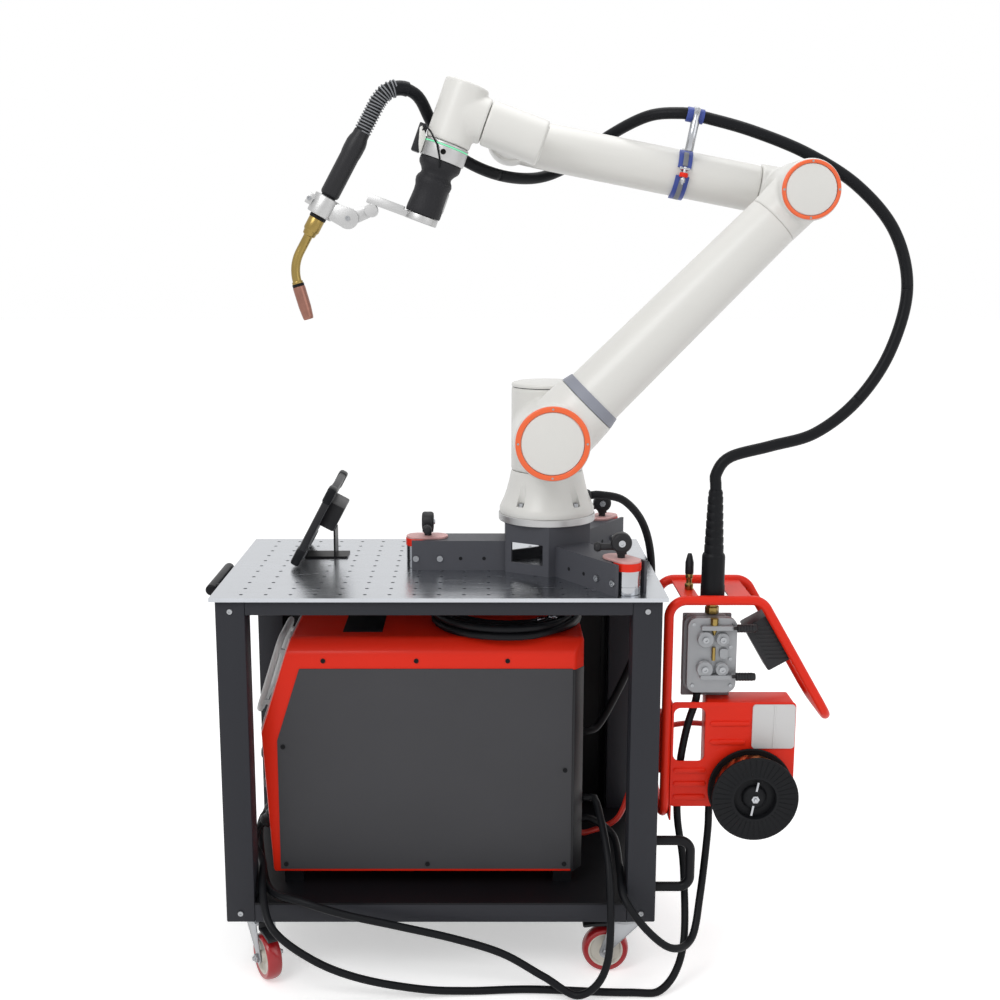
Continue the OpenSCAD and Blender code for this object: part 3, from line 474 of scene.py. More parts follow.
def aimed(t, points, shape):
    """Copies of a shape at points, each with its Z along its point's aim."""
    aim = step(t, "GeometryNodeInputNamedAttribute", {"Name": "aim"}, data_type="FLOAT_VECTOR")
    facing = step(t, "FunctionNodeAlignRotationToVector", {"Vector": aim["Attribute"]}, axis="Z")
    inputs = {"Points": points, "Instance": shape, "Rotation": facing[0]}
    return step(t, "GeometryNodeInstanceOnPoints", inputs)["Instances"]


def screw_tree():
    """Socket screw heads at points, each along its point's aim."""
    t, g = tree("screw_heads", [("Head radius", "Float"), ("Head height", "Float"), ("Finish", "Material")])
    head = step(t, "GeometryNodeMeshCylinder", {"Vertices": 18, "Radius": g["Head radius"],
                                                "Depth": g["Head height"]})
    rim = step(t, "GeometryNodeExtrudeMesh", {"Mesh": head["Mesh"], "Selection": head["Top"],
                                              "Offset Scale": 0.0, "Individual": False})
    inset = step(t, "GeometryNodeScaleElements", {"Geometry": rim["Mesh"], "Selection": rim["Top"],
                                                  "Scale": 0.5})
    depth = maths(t, "MULTIPLY", g["Head height"], -0.6)
    well = step(t, "GeometryNodeExtrudeMesh", {"Mesh": inset["Geometry"], "Selection": rim["Top"],
                                               "Offset Scale": depth, "Individual": False})
    lift = step(t, "ShaderNodeCombineXYZ", {"Z": maths(t, "MULTIPLY", g["Head height"], 0.5)})
    seated = step(t, "GeometryNodeTransform", {"Geometry": well["Mesh"], "Translation": lift[0]})
    return close_tree(t, aimed(t, g["Geometry"], seated["Geometry"]), g["Finish"])


def bar_tree():
    """Flat bars at points, each with its height along its point's aim."""
    t, g = tree("bars", [("Length", "Float"), ("Width", "Float"), ("Height", "Float"),
                         ("Finish", "Material")])
    size = step(t, "ShaderNodeCombineXYZ", {"X": g["Length"], "Y": g["Width"], "Z": g["Height"]})
    bar = step(t, "GeometryNodeMeshCube", {"Size": size[0]})
    return close_tree(t, aimed(t, g["Geometry"], bar["Mesh"]), g["Finish"])


def spring_tree():
    """A wire wound round a line."""
    t, g = tree("spring", [("Radius", "Float"), ("Turns", "Float"), ("Wire radius", "Float"),
                           ("Finish", "Material")])
    line = step(t, "GeometryNodeMeshToCurve", {"Mesh": g["Geometry"]})
    count = maths(t, "MULTIPLY", g["Turns"], 18)
    fine = step(t, "GeometryNodeResampleCurve", {"Curve": line["Curve"], "Count": count})
    part = step(t, "GeometryNodeSplineParameter", {})
    angle = maths(t, "MULTIPLY", maths(t, "MULTIPLY", part["Factor"], g["Turns"]), 2 * math.pi)
    normal = step(t, "GeometryNodeInputNormal", {})
    tangent = step(t, "GeometryNodeInputTangent", {})
    across = step(t, "ShaderNodeVectorMath", {0: tangent[0], 1: normal[0]}, operation="CROSS_PRODUCT")
    reach = []
    for side, wave in ((normal, "COSINE"), (across, "SINE")):
        far = maths(t, "MULTIPLY", maths(t, wave, angle, 0.0), g["Radius"])
        reach.append(step(t, "ShaderNodeVectorMath", {0: side[0], "Scale": far}, operation="SCALE")[0])
    offset = step(t, "ShaderNodeVectorMath", {0: reach[0], 1: reach[1]}, operation="ADD")
    coil = step(t, "GeometryNodeSetPosition", {"Geometry": fine["Curve"], "Offset": offset[0]})
    round_wire = step(t, "GeometryNodeCurvePrimitiveCircle", {"Resolution": 6, "Radius": g["Wire radius"]})
    wire = step(t, "GeometryNodeCurveToMesh", {"Curve": coil["Geometry"],
                                               "Profile Curve": round_wire["Curve"], "Fill Caps": True})
    return close_tree(t, wire["Mesh"], g["Finish"])


def hole_plate_tree():
    """A plate drilled with rows of holes."""
    t, g = tree("hole_plate", [("Size", "Vector"), ("Rows", "Vector"), ("Columns", "Int"), ("Lines", "Int"),
                               ("Hole radius", "Float"), ("Finish", "Material")])
    slab = step(t, "GeometryNodeMeshCube", {"Size": g["Size"]})
    reach = step(t, "ShaderNodeSeparateXYZ", {0: g["Rows"]})
    grid = step(t, "GeometryNodeMeshGrid", {"Size X": reach["X"], "Size Y": reach["Y"],
                                            "Vertices X": g["Columns"], "Vertices Y": g["Lines"]})
    drill = step(t, "GeometryNodeMeshCylinder", {"Vertices": 14, "Radius": g["Hole radius"], "Depth": 0.1})
    drills = step(t, "GeometryNodeInstanceOnPoints", {"Points": grid["Mesh"], "Instance": drill["Mesh"]})
    bits = step(t, "GeometryNodeRealizeInstances", {"Geometry": drills["Instances"]})
    drilled = step(t, "GeometryNodeMeshBoolean", {"Mesh 1": slab["Mesh"], "Mesh 2": bits["Geometry"]},
                   operation="DIFFERENCE")
    return close_tree(t, drilled["Mesh"], g["Finish"])


def grow(name, me, t, values, look, body, m=METRES, nodes=(), sharp=35):
    """A piece made by a node tree from a mesh, settled to a plain mesh and put in its place."""
    ob = placed(name, me)
    mod = ob.modifiers.new(name, "NODES")
    mod.node_group = t
    values = dict(values, Finish=M[look])
    for item in t.interface.items_tree:
        if item.in_out == "INPUT" and item.name in values:
            mod[item.identifier] = values[item.name]
    settle(ob)
    ob.data.transform(m)
    return dress(ob, body, nodes, sharp)


SCREWS = screw_tree()
BARS = bar_tree()
SPRING = spring_tree()
HOLES = hole_plate_tree()


def aimed_points(name, places, m):
    """A mesh of points that carry the directions they aim in."""
    me = bpy.data.meshes.new(name)
    me.from_pydata([m @ Vector(p) for p, aim in places], [], [])
    aims = me.attributes.new("aim", "FLOAT_VECTOR", "POINT")
    turned = m.to_3x3()
    for k, (p, aim) in enumerate(places):
        aims.data[k].vector = turned @ Vector(aim)
    return me


def screws(name, places, r, h, look, body, m=CELL):
    """Screw heads at places with their directions, in millimetres of a local frame."""
    sizes = {"Head radius": float(r), "Head height": float(h)}
    return grow(name, aimed_points(name, places, m), SCREWS, sizes, look, body)


def bars(name, places, size, look, body, m=CELL):
    """Flat bars at places with their directions."""
    sizes = {"Length": float(size[0]), "Width": float(size[1]), "Height": float(size[2])}
    return grow(name, aimed_points(name, places, m), BARS, sizes, look, body)


def spring(name, line, r, turns, wire, look, body, m=CELL):
    """Wire wound round a line of points."""
    me = bpy.data.meshes.new(name)
    me.from_pydata([m @ Vector(p) for p in line], [(i, i + 1) for i in range(len(line) - 1)], [])
    sizes = {"Radius": float(r), "Turns": float(turns), "Wire radius": float(wire)}
    return grow(name, me, SPRING, sizes, look, body, sharp=60)


# Cords, along the routes of the part's source
HOSE_A = [(568, -160, 830), (568, -160, 940), (568, -160, 1045), (568, -160, 1078), (596, -158, 1112),
          (680, -152, 1134), (770, -148, 1160), (855, -139, 1226), (920, -128, 1325), (952, -115, 1450),
          (925, -100, 1565), (850, -84, 1656), (750, -62, 1722), (640, -45, 1768), (548, -40, 1794),
          (522, -40, 1799)]
HOSE_B = [(521.5, -40, 1799.1), (496, -40, 1804), (430, -12, 1801), (355, 54, 1767),
          (280, 86, 1712), (205, 52, 1681), (120, -18, 1683), (40, -70, 1716), (-8, -99, 1770),
          (-34, -126, 1818.7), (-53, -142, 1834.7), (-73.4, -153, 1839.2), (-97.4, -158.5, 1832.8),
          (-115.4, -159, 1814.5), (-123.5, -159, 1799.9)]
POWER = [(-384, -160, 314), (-396, -160, 302), (-404, -170, 270), (-382, -204, 243),
         (-374, -262, 211), (-344, -330, 158), (-263, -340, 95), (-166, -335, 50), (-42, -325, 20),
         (60, -314, 9), (190, -308, 9), (390, -320, 9), (465, -312, 14), (512, -262, 80),
         (520, -190, 220), (506, -176, 330), (505, -175, 400), (510, -174, 470), (522, -174, 540),
         (537, -174, 592), (540, -174, 614.5)]
EARTH = [(-384, -100, 314), (-396, -100, 302), (-404, -108, 270), (-392, -155, 225),
         (-360, -242, 198), (-290, -287, 196), (-200, -297, 172), (-90, -300, 148), (30, -302, 120),
         (130, -305, 88), (215, -320, 45), (290, -342, 16), (345, -340, 90), (352, -262, 255),
         (335, -150, 352), (318, -135, 360), (300, -135, 360)]
ROBOT = [(324, 28, 998), (348, 35, 998), (405, 72, 978), (455, 118, 915), (480, 152, 820),
         (478, 166, 700), (440, 152, 578), (365, 82, 458), (330, 60, 440), (300, 60, 440)]
CONTROL = [(300, -110, 300), (325, -110, 300), (372, -140, 275), (379, -225, 236),
           (382, -285, 205), (425, -320, 152), (480, -318, 108), (528, -272, 106), (552, -222, 180),
           (572, -172, 290), (575, -162, 338), (575, -160, 368.5)]
GAS = [(300, -90, 260), (322, -90, 260), (384, -94, 292), (412, -98, 365), (436, -90, 440),
       (478, -72, 490), (535, -62, 503), (590, -74, 504), (612, -98, 504), (613, -122.7, 504)]
HOSE_DIA = 24
CORD_STEP = 0.008


def curve_points(route, gap=CORD_STEP):
    """Points along a smooth line through a route, about one gap apart."""
    pts = [mm(*p) for p in route]
    ext = [2 * pts[0] - pts[1]] + pts + [2 * pts[-1] - pts[-2]]
    out = []
    for a, b, c, d in zip(ext, ext[1:], ext[2:], ext[3:]):
        n = max(1, round((c - b).length / gap))
        for k in range(n):
            t = k / n
            out.append(0.5 * (2 * b + (c - a) * t + (2 * a - 5 * b + 4 * c - d) * t * t
                              + (3 * b - a - 3 * c + d) * t ** 3))
    out.append(pts[-1])
    return out


def cord(name, points, dia, look="rubber", body=None, bodies=None, node=None):
    """A round cord along points, riding on one body, or on none where it runs between two."""
    verts, faces = tube_mesh(points, dia / 2000)
    me = bpy.data.meshes.new(name)
    me.from_pydata([tuple(v) for v in verts], [], faces)
    me.materials.append(M[look])
    me.shade_smooth()
    ob = placed(name, me)
    if bodies:
        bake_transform(ob)
    else:
        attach(ob, body)
    if node:
        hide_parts(node)
    return ob


def stretches(route, cuts):
    """The smooth line through a route, cut at the route's points with these numbers."""
    pts = curve_points(route)
    marks = [0]
    for c in cuts:
        goal = mm(*route[c])
        marks.append(min(range(len(pts)), key=lambda i: (pts[i] - goal).length))
    marks.append(len(pts) - 1)
    return [pts[a:b + 1] for a, b in zip(marks, marks[1:])]


def hose_boot():
    """Moulded boot where the torch hose leaves the feeder."""
    profile = [(0, 0), (22, 0), (25, 4), (25, 30), (24, 33), (24, 92), (22.5, 97), (20, 100)]
    for k in range(7):
        z = 104 + 17 * k
        r = 20 - 0.7 * k
        profile += [(r, z), (r, z + 11), (r - 1.4, z + 13), (r - 1.4, z + 15)]
    profile += [(15, 226), (13, 232), (0, 233)]
    return turned_piece("hose_boot", "rubber", "cart", profile, at(FEED_X, FEED_Y, 812),
                        nodes=["torch_boot"])


boot = hose_boot()
a1, a2, a3 = stretches(HOSE_A, [7, 9])
b1, b2, b3 = stretches(HOSE_B, [6, 8])
cord("hose_boot_end", a1, HOSE_DIA, bodies=("cart", "turret"),
     node="torch_hose_a")
cord("hose_rise", a2, HOSE_DIA, bodies=("turret", "upper_arm"))
cord("hose_over_elbow", a3, HOSE_DIA, bodies=("upper_arm", "forearm"))
cord("hose_along_forearm", b1, HOSE_DIA, bodies=("forearm", "wrist_one"),
     node="torch_hose_b")
cord("hose_under_wrist", b2, HOSE_DIA, bodies=("wrist_one", "wrist_two"))
cord("hose_torch_end", b3, HOSE_DIA, bodies=("wrist_two", "tool"))
for name, route, dia, look, stiff in (
        ("power_cable", POWER, 16, "rubber", "limp"), ("earth_cable", EARTH, 16, "rubber", "limp"),
        ("robot_cable", ROBOT, 18, "rubber", "medium"), ("control_cable", CONTROL, 16, "rubber", "limp"),
        ("gas_hose", GAS, 12, "red_hose", "limp")):
    cord(name + "_line", curve_points(route), dia, look=look, body="cart", node=name)


# Robot

# Joint places and link frames, with Z along each link, from the arm's sizes
UPPER_LEN = 700
FORE_LEN = 586
HAND_LEN = 114
ARM_OFF = 150
WRIST_OFF = 159
UPPER_ANGLE = 45
FORE_ANGLE = 11
WRIST_TILT = 20


def rise(length, angle):
    x, z = polar(length, angle)
    return Vector((x, 0, z))


SHOULDER = Vector((ROBOT_X, 0, 1148))
ELBOW = SHOULDER + rise(UPPER_LEN, UPPER_ANGLE)
WRIST = ELBOW + rise(FORE_LEN, 180 - FORE_ANGLE)
HAND = WRIST + Vector((0, -WRIST_OFF, 0)) + rise(HAND_LEN, 180 - WRIST_TILT)
UPPER = at(*(SHOULDER - Vector((0, ARM_OFF, 0)))) @ turn(90 - UPPER_ANGLE, "Y")
FORE = at(*ELBOW) @ turn(FORE_ANGLE - 90, "Y")
BARREL = at(*(WRIST - Vector((0, WRIST_OFF, 0)))) @ turn(WRIST_TILT - 90, "Y")
TOOL = at(*HAND) @ turn(180 + WRIST_TILT, "Y")
TORCH = TOOL @ shift(190, 0, 263) @ turn(9, "Y")
NECK_R = 80
NECK_Z = 98
NECK_TURN = 45
NECK_END = TORCH @ shift(-NECK_R, 0, NECK_Z) @ turn(-NECK_TURN, "Y") @ shift(NECK_R, 0, 0)
# Voxel size of the rounded castings
CAST = 2.6


def along_y(p, y0):
    return at(p.x, y0, p.z) @ ALONG_Y


# Bolts round the robot's foot
FOOT_BOLT_R = 91
FOOT_BOLT_Z = 23
FOOT_BOLT_TURNS = (51, 129, 231, 309)


def robot_foot():
    """Flared foot with bolt pockets, and its cable plug."""
    axis = at(ROBOT_X, 0, FOOT_Z)
    bm = bmesh.new()
    lathe(bm, [(0, 0), (102, 0), (103, 1.5), (103, 12), (100, 19), (93, 34), (87, 52), (82.5, 70),
          (79.5, 84), (78, 91), (76.5, 93), (0, 93)], axis, seg=120)
    cutter = bmesh.new()
    pocket = arc(FOOT_BOLT_R, 0, 9.5, 90, 270) + [(120, -9.5), (120, 9.5)]
    for a in FOOT_BOLT_TURNS:
        plate(cutter, pocket, FOOT_BOLT_Z, 100, axis @ turn(a, "Z") @ turn(90, "X"))
    piece("foot_casting", bm, "white", "cart", bevel=1.2, nodes=["robot_foot"], cutter=cutter)
    bolts = [((*polar(FOOT_BOLT_R, a), FOOT_BOLT_Z), (0, 0, 1)) for a in FOOT_BOLT_TURNS]
    screws("foot_bolts", bolts, 6.5, 8, "zinc", "cart", axis)
    plug = axis @ turn(math.degrees(math.atan2(7, 24)), "Z") @ shift(70, 0, 30) @ ALONG_X
    turned_piece("foot_plug", "black", "cart", [(0, 0), (15, 0), (15, 10), (13, 11), (13, 15), (14, 16),
                 (14, 26), (12, 30), (0, 30)], plug, bevel=0.4)


def turret():
    """Turning body with its seamed lid and the boss that carries the shoulder."""
    bm = bmesh.new()
    lathe(bm, drum(78, 181, 3), at(ROBOT_X, 0, 1061.6), seg=96)
    lathe(bm, drum(78, 78.5, 2), along_y(SHOULDER, -78.5), seg=96)
    piece("turret_casting", bm, "white", "turret", nodes=["turret"], cast=CAST)
    turned_piece("turret_seam", "dark", "turret", [(0, 0), (75.5, 0), (75.5, 3), (0, 3)],
                 at(ROBOT_X, 0, 1241.5), seg=96)
    turned_piece("turret_lid", "white", "turret", [(0, 0), (77.5, 0), (78, 1), (78, 4), (77, 6.5), (74, 8.5),
                 (66, 10), (0, 11)], at(ROBOT_X, 0, 1243), seg=96, sharp=50)


def cover(name, p, y, r_out, r_in, body):
    """Orange ring with four screws round a flat white cap."""
    axis = along_y(p, y - 6)
    turned_piece(name + "_ring", "orange", body, [(r_in, 6), (r_in, 1), (r_in + 1, 0.2), (r_in + 3, 0),
                 (r_out - 3, 0), (r_out - 1, 0.6), (r_out, 2), (r_out, 6)], axis, seg=120, closed=True,
                 sharp=50)
    mid = (r_in + r_out) / 2
    spots = [((*polar(mid, a), 0), (0, 0, -1)) for a in range(0, 360, 90)]
    screws(name + "_screws", spots, 2.2, 1.0, "zinc", body, axis)
    return turned_piece(name + "_cap", "white", body, [(0, 1.2), (r_in - 3, 1.4), (r_in - 1.2, 2),
                        (r_in - 0.8, 3), (r_in - 0.8, 6), (0, 6)], axis, seg=120, sharp=50)


def upper_arm():
    """Shoulder and elbow housings with their covers."""
    bm = bmesh.new()
    lathe(bm, drum(78, 141.5, 3), along_y(SHOULDER, -220.8), seg=96)
    lathe(bm, [(0, 0), (74, 0), (74, 60), (70.5, 101.5), (0, 101.5)], UPPER, seg=96)
    piece("shoulder_casting", bm, "white", "upper_arm", nodes=["shoulder_housing"], cast=CAST)
    bm = bmesh.new()
    lathe(bm, drum(60, 131.5, 3), along_y(ELBOW, -215.8), seg=96)
    lathe(bm, [(0, 0), (55.5, 0), (56.5, 40), (58, 82), (0, 82)], UPPER @ up(UPPER_LEN - 82), seg=96)
    piece("elbow_casting", bm, "white", "upper_arm", nodes=["elbow_housing"], cast=CAST)
    cap = cover("shoulder_cover", SHOULDER, -221, 75, 64, "upper_arm")
    cover("elbow_cover", ELBOW, -216, 57, 50, "upper_arm")
    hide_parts("joint_covers")


def forearm():
    """Elbow body, tube and wrist end of the forearm."""
    bm = bmesh.new()
    lathe(bm, drum(57.5, 139, 3), along_y(ELBOW, -83.2), seg=96)
    lathe(bm, [(0, 0), (53, 0), (52, 64), (0, 64)], FORE, seg=96)
    piece("forearm_elbow_casting", bm, "white", "forearm", nodes=["forearm_elbow"], cast=CAST)
    bm = bmesh.new()
    lathe(bm, [(0, 64.4), (47.5, 64.4), (48, 66), (48, 500), (47, 540), (46, FORE_LEN), (0, FORE_LEN)], FORE,
          seg=96)
    lathe(bm, drum(50, 131, 3), along_y(WRIST, -75.2), seg=96)
    piece("forearm_casting", bm, "white", "forearm", nodes=["forearm_tube"], cast=CAST)
    bm = bmesh.new()
    lathe(bm, [(0, 0), (40, 0), (42, 1), (42, 3), (40, 4), (0, 4)], along_y(ELBOW, 55.5), seg=96)
    lathe(bm, [(0, 0), (36, 0), (38, 1), (38, 3), (36, 4), (0, 4)], along_y(WRIST, 55.5), seg=96)
    piece("forearm_back_caps", bm, "white", "forearm")


def wrist():
    """The two T-shaped bodies of the wrist."""
    bm = bmesh.new()
    lathe(bm, drum(45, 82.5, 2), along_y(WRIST, -159), seg=96)
    lathe(bm, drum(45, 117.4, 3), BARREL @ up(-62), seg=96)
    piece("wrist_one_casting", bm, "white", "wrist_one", nodes=["wrist_one"], cast=CAST)
    bm = bmesh.new()
    lathe(bm, drum(45, HAND_LEN - 56.6, 2), BARREL @ up(56.6), seg=96)
    lathe(bm, drum(45, 120.4, 4), TOOL @ up(-56), seg=96)
    piece("wrist_two_casting", bm, "white", "wrist_two", nodes=["wrist_two"], cast=CAST)
    turned_piece("wrist_one_cap", "white", "wrist_one", [(0, 0), (34, 0), (36, 1.2), (36, 4), (0, 4)],
                 BARREL @ up(-64.5), seg=96)


robot_foot()
turret()
upper_arm()
forearm()
wrist()


# Tool and torch

def flange_and_grip():
    """Aluminium flange with its status light, and the black guide grip under it."""
    bm = bmesh.new()
    lathe(bm, [(0, 65), (44, 65), (45, 66), (45, 69), (44, 69.6), (44, 72.4), (45, 73), (45, 98), (44, 99.6),
          (0, 99.6)], TOOL, seg=96)
    cutter = bmesh.new()
    port = TOOL @ shift(0, -34, 84) @ turn(90, "X")
    lathe(cutter, [(0, 0), (5.5, 0), (5.5, 20), (0, 20)], port, seg=24)
    piece("flange_casting", bm, "alu", "tool", nodes=["tool_flange"], cutter=cutter)
    turned_piece("flange_port", "dark", "tool", [(0, 0), (5.3, 0), (5.3, 4), (0, 4)], port, seg=24)
    turned_piece("status_ring", "led", "tool", [(43, 69.8), (44.6, 69.8), (44.6, 72.2), (43, 72.2)], TOOL,
                 seg=96, closed=True)
    turned_piece("guide_grip", "leather", "tool", [(0, 100), (41, 100), (42, 102), (42, 110), (40, 115),
                 (34, 122), (31, 128), (31.5, 132), (35, 137), (37, 143), (36, 150), (33.5, 158), (33, 168),
                 (34, 182), (35.5, 198), (35.5, 206), (34.5, 209.6), (0, 209.6)], TOOL, seg=96,
                 nodes=["tool_grip"], sharp=60)
    plate_piece("grip_buttons", "grey", "tool", round_box(-9, 152, 9, 196, 7), -36.8, -33,
                TOOL @ turn(-115, "Z"), bevel=1)
    block_piece("sensor_box", "black", "tool", (47, -14, 44), (63, 14, 100), TOOL, bevel=2)
    plate_piece("sensor_bracket", "white", "tool", [(42, 68), (47, 60), (56, 50), (60, 54), (52, 84),
                (46, 98), (42, 98)], -20, -16, TOOL, bevel=0.8)
    bm = bmesh.new()
    wire = [(54, -14, 64), (50, -26, 48), (36, -40, 56), (16, -47, 75), (4, -47, 95), (-2, -44, 108),
            (-3, -40, 114)]
    tube(bm, rounded_path(wire, 6, steps=5), 1.8, TOOL, sides=10)
    piece("sensor_wire", bm, "rubber", "tool", sharp=80)


def torch_bracket():
    """Machined disc, bar, knuckles and the split clamp that hold the torch."""
    seat = TOOL @ up(210)
    bm = bmesh.new()
    lathe(bm, [(0, 0.4), (32, 0.4), (33, 1.4), (33, 13.6), (31.5, 15), (0, 15)], seat, seg=96)
    plate(bm, [(4, 2), (38, 2), (38, -4), (112, -4), (112, 14.4), (4, 14.4)], -15, 15, seat)
    lathe(bm, drum(13, 30, 1), seat @ shift(98, -15, 26) @ ALONG_Y, seg=40)
    piece("bracket_bar", bm, "alu", "tool", bevel=1.2, nodes=["torch_bracket"])
    link = seat @ shift(98, 0, 26) @ turn(-39, "Y")
    bar = arc(49, 0, 15, 90, -90, 12) + arc(0, 0, 11, 270, 90, 10)
    plate_piece("bracket_link", "alu", "tool", bar, -6, 9, link, bevel=1.4)
    tab = arc(-54, -5, 21, 75, 285, 18) + [(-24, -20), (-18, -12), (-18, 9), (-24, 15)]
    plate_piece("bracket_tab", "alu", "tool", tab, -15, -6.4, TORCH, bevel=1.0)
    bm = bmesh.new()
    lathe(bm, collar(15.3, 26, 40, 1.5), TORCH @ up(-22), seg=72, closed=True)
    block(bm, (-42, -13, -12), (-22, 13, 11), TORCH)
    block(bm, (22, -12, -14), (36, -2, 8), TORCH)
    block(bm, (22, 1, -14), (36, 11, 8), TORCH)
    piece("torch_clamp", bm, "alu", "tool", bevel=1.2)
    screws("clamp_screw", [((31, -12, -3), (0, -1, 0))], 4.2, 4, "zinc", "tool", TORCH)
    screws("bracket_screw", [((-54, -15, -5), (0, -1, 0))], 5, 3, "zinc", "tool", TORCH)


def torch():
    """Black handle, ridged boot with its spring, brass neck and copper nozzle."""
    turned_piece("torch_handle_shell", "black", "tool", [(0, 18), (16.5, 18), (16.5, 13), (14.8, 12),
                 (14.8, -24), (17.6, -26), (19.2, -30), (19.2, -112), (20, -118), (20.4, -126), (20.4, -140),
                 (19, -148), (16.5, -156), (16, -166), (0, -166)], TORCH, nodes=["torch_handle"], sharp=45)
    bm = bmesh.new()
    guard = [TORCH @ Vector((0, 0, z)) for z in range(-160, -213, -6)]
    guard += [p * 1000 for p in reversed(b3)][:11]
    tube(bm, guard, 14.4, sides=32)
    piece("torch_boot_core", bm, "rubber", "tool", sharp=60)
    spring("torch_spring", guard[1:-3], 16.2, 18, 1.5, "gearbox", "tool", Matrix())
    turned_piece("torch_insulator", "dark", "tool", [(0, 18.4), (16.5, 18.4), (17, 20), (17, 25), (0, 25)],
                 TORCH, seg=48)
    bm = bmesh.new()
    lathe(bm, [(0, 25), (15.5, 25), (16, 26), (16, 50), (15, 52), (13.5, 54), (13, 60), (12, 62), (9.5, 63),
          (9, 64), (9, NECK_Z), (0, NECK_Z)], TORCH, seg=48)
    bend = [Vector((x, 0, z)) for x, z in arc(-NECK_R, NECK_Z, NECK_R, 0, NECK_TURN, 15)]
    tube(bm, bend, 9, TORCH, sides=32)
    lathe(bm, [(0, -2), (10.5, -2), (11, -1), (11, 3), (0, 3)], NECK_END, seg=48)
    piece("torch_neck_brass", bm, "brass", "tool", nodes=["torch_neck"], sharp=45)
    turned_piece("nozzle_insulator", "dark", "tool", [(0, 3), (12, 3), (12, 8), (11.4, 9), (0, 9)], NECK_END,
                 seg=48)
    turned_piece("gas_nozzle", "copper", "tool", [(10, 9), (12.2, 9), (12.6, 12), (12.4, 50), (11.4, 62),
                 (10.6, 71), (9.8, 75), (8.6, 76), (7.8, 74), (7.8, 30), (10, 28)], NECK_END, seg=48,
                 closed=True, nodes=["torch_nozzle"], sharp=45)
    turned_piece("contact_tip", "wire", "tool", [(0, 28), (4.2, 28), (4.2, 62), (2.4, 70), (0.8, 70),
                 (0.8, 60), (0, 60)], NECK_END, seg=24)


flange_and_grip()
torch_bracket()
torch()


def hose_bracket():
    """Padded strap with its nut, and the post and clip that hold the hose over the forearm."""
    seat = FORE @ up(227)
    across = seat @ turn(90, "X")
    front = seat @ shift(0, -60, 0)
    bm = bmesh.new()
    lathe(bm, collar(48.4, 51, 12, 0.4), seat @ up(-6), seg=72, closed=True)
    lathe(bm, drum(3, 36, 0.5), front @ shift(-26, 0, 0) @ ALONG_X, seg=24)
    lathe(bm, drum(5.5, 9, 1), front @ shift(-22, 0, 0) @ ALONG_X, seg=24)
    lathe(bm, drum(3, 22, 1), front @ shift(6, 0, -11), seg=24)
    piece("bracket_strap", bm, "steel", "forearm", nodes=["hose_bracket"], sharp=40)
    bm = bmesh.new()
    plate(bm, arc(0, 0, 53, 81, 31, 10) + arc(0, 0, 48.4, 31, 81, 10), -14, 14, across)
    plate(bm, arc(0, 0, 53, 99, 182, 14) + arc(0, 0, 48.4, 182, 99, 14), -14, 14, across)
    lathe(bm, collar(12.2, 15, 36, 1), seat @ shift(115, -40, -18), seg=48, closed=True)
    piece("bracket_pads", bm, "blue", "forearm", bevel=0.8)
    bm = bmesh.new()
    plate(bm, arc(0, 0, 55.5, 77, 42, 8) + arc(0, 0, 52, 42, 77, 8), -5, 5, across)
    plate(bm, arc(0, 0, 55.5, 104, 168, 12) + arc(0, 0, 52, 168, 104, 12), -5, 5, across)
    piece("bracket_bands", bm, "gearbox", "forearm", bevel=0.6)
    bm = bmesh.new()
    post = [(0, 0), (8, 0), (8.8, 1), (8.8, 56), (6.4, 62), (6.4, 84), (5, 86), (0, 86)]
    lathe(bm, post, seat @ shift(42, -60, 0) @ ALONG_X, seg=32)
    lathe(bm, collar(15, 17, 11, 0.4), seat @ shift(115, -40, -5.5), seg=48, closed=True)
    piece("bracket_post", bm, "steel", "forearm", sharp=40)
    turned_piece("bracket_nut", "red", "forearm", drum(9, 9, 2), front @ shift(-11, 0, 0) @ ALONG_X, seg=32,
                 sharp=60)
    screws("bracket_bolts", [((118, -66.4, 0), (0, -1, 0))], 4, 3, "zinc", "forearm", seat)


hose_bracket()


# Cart

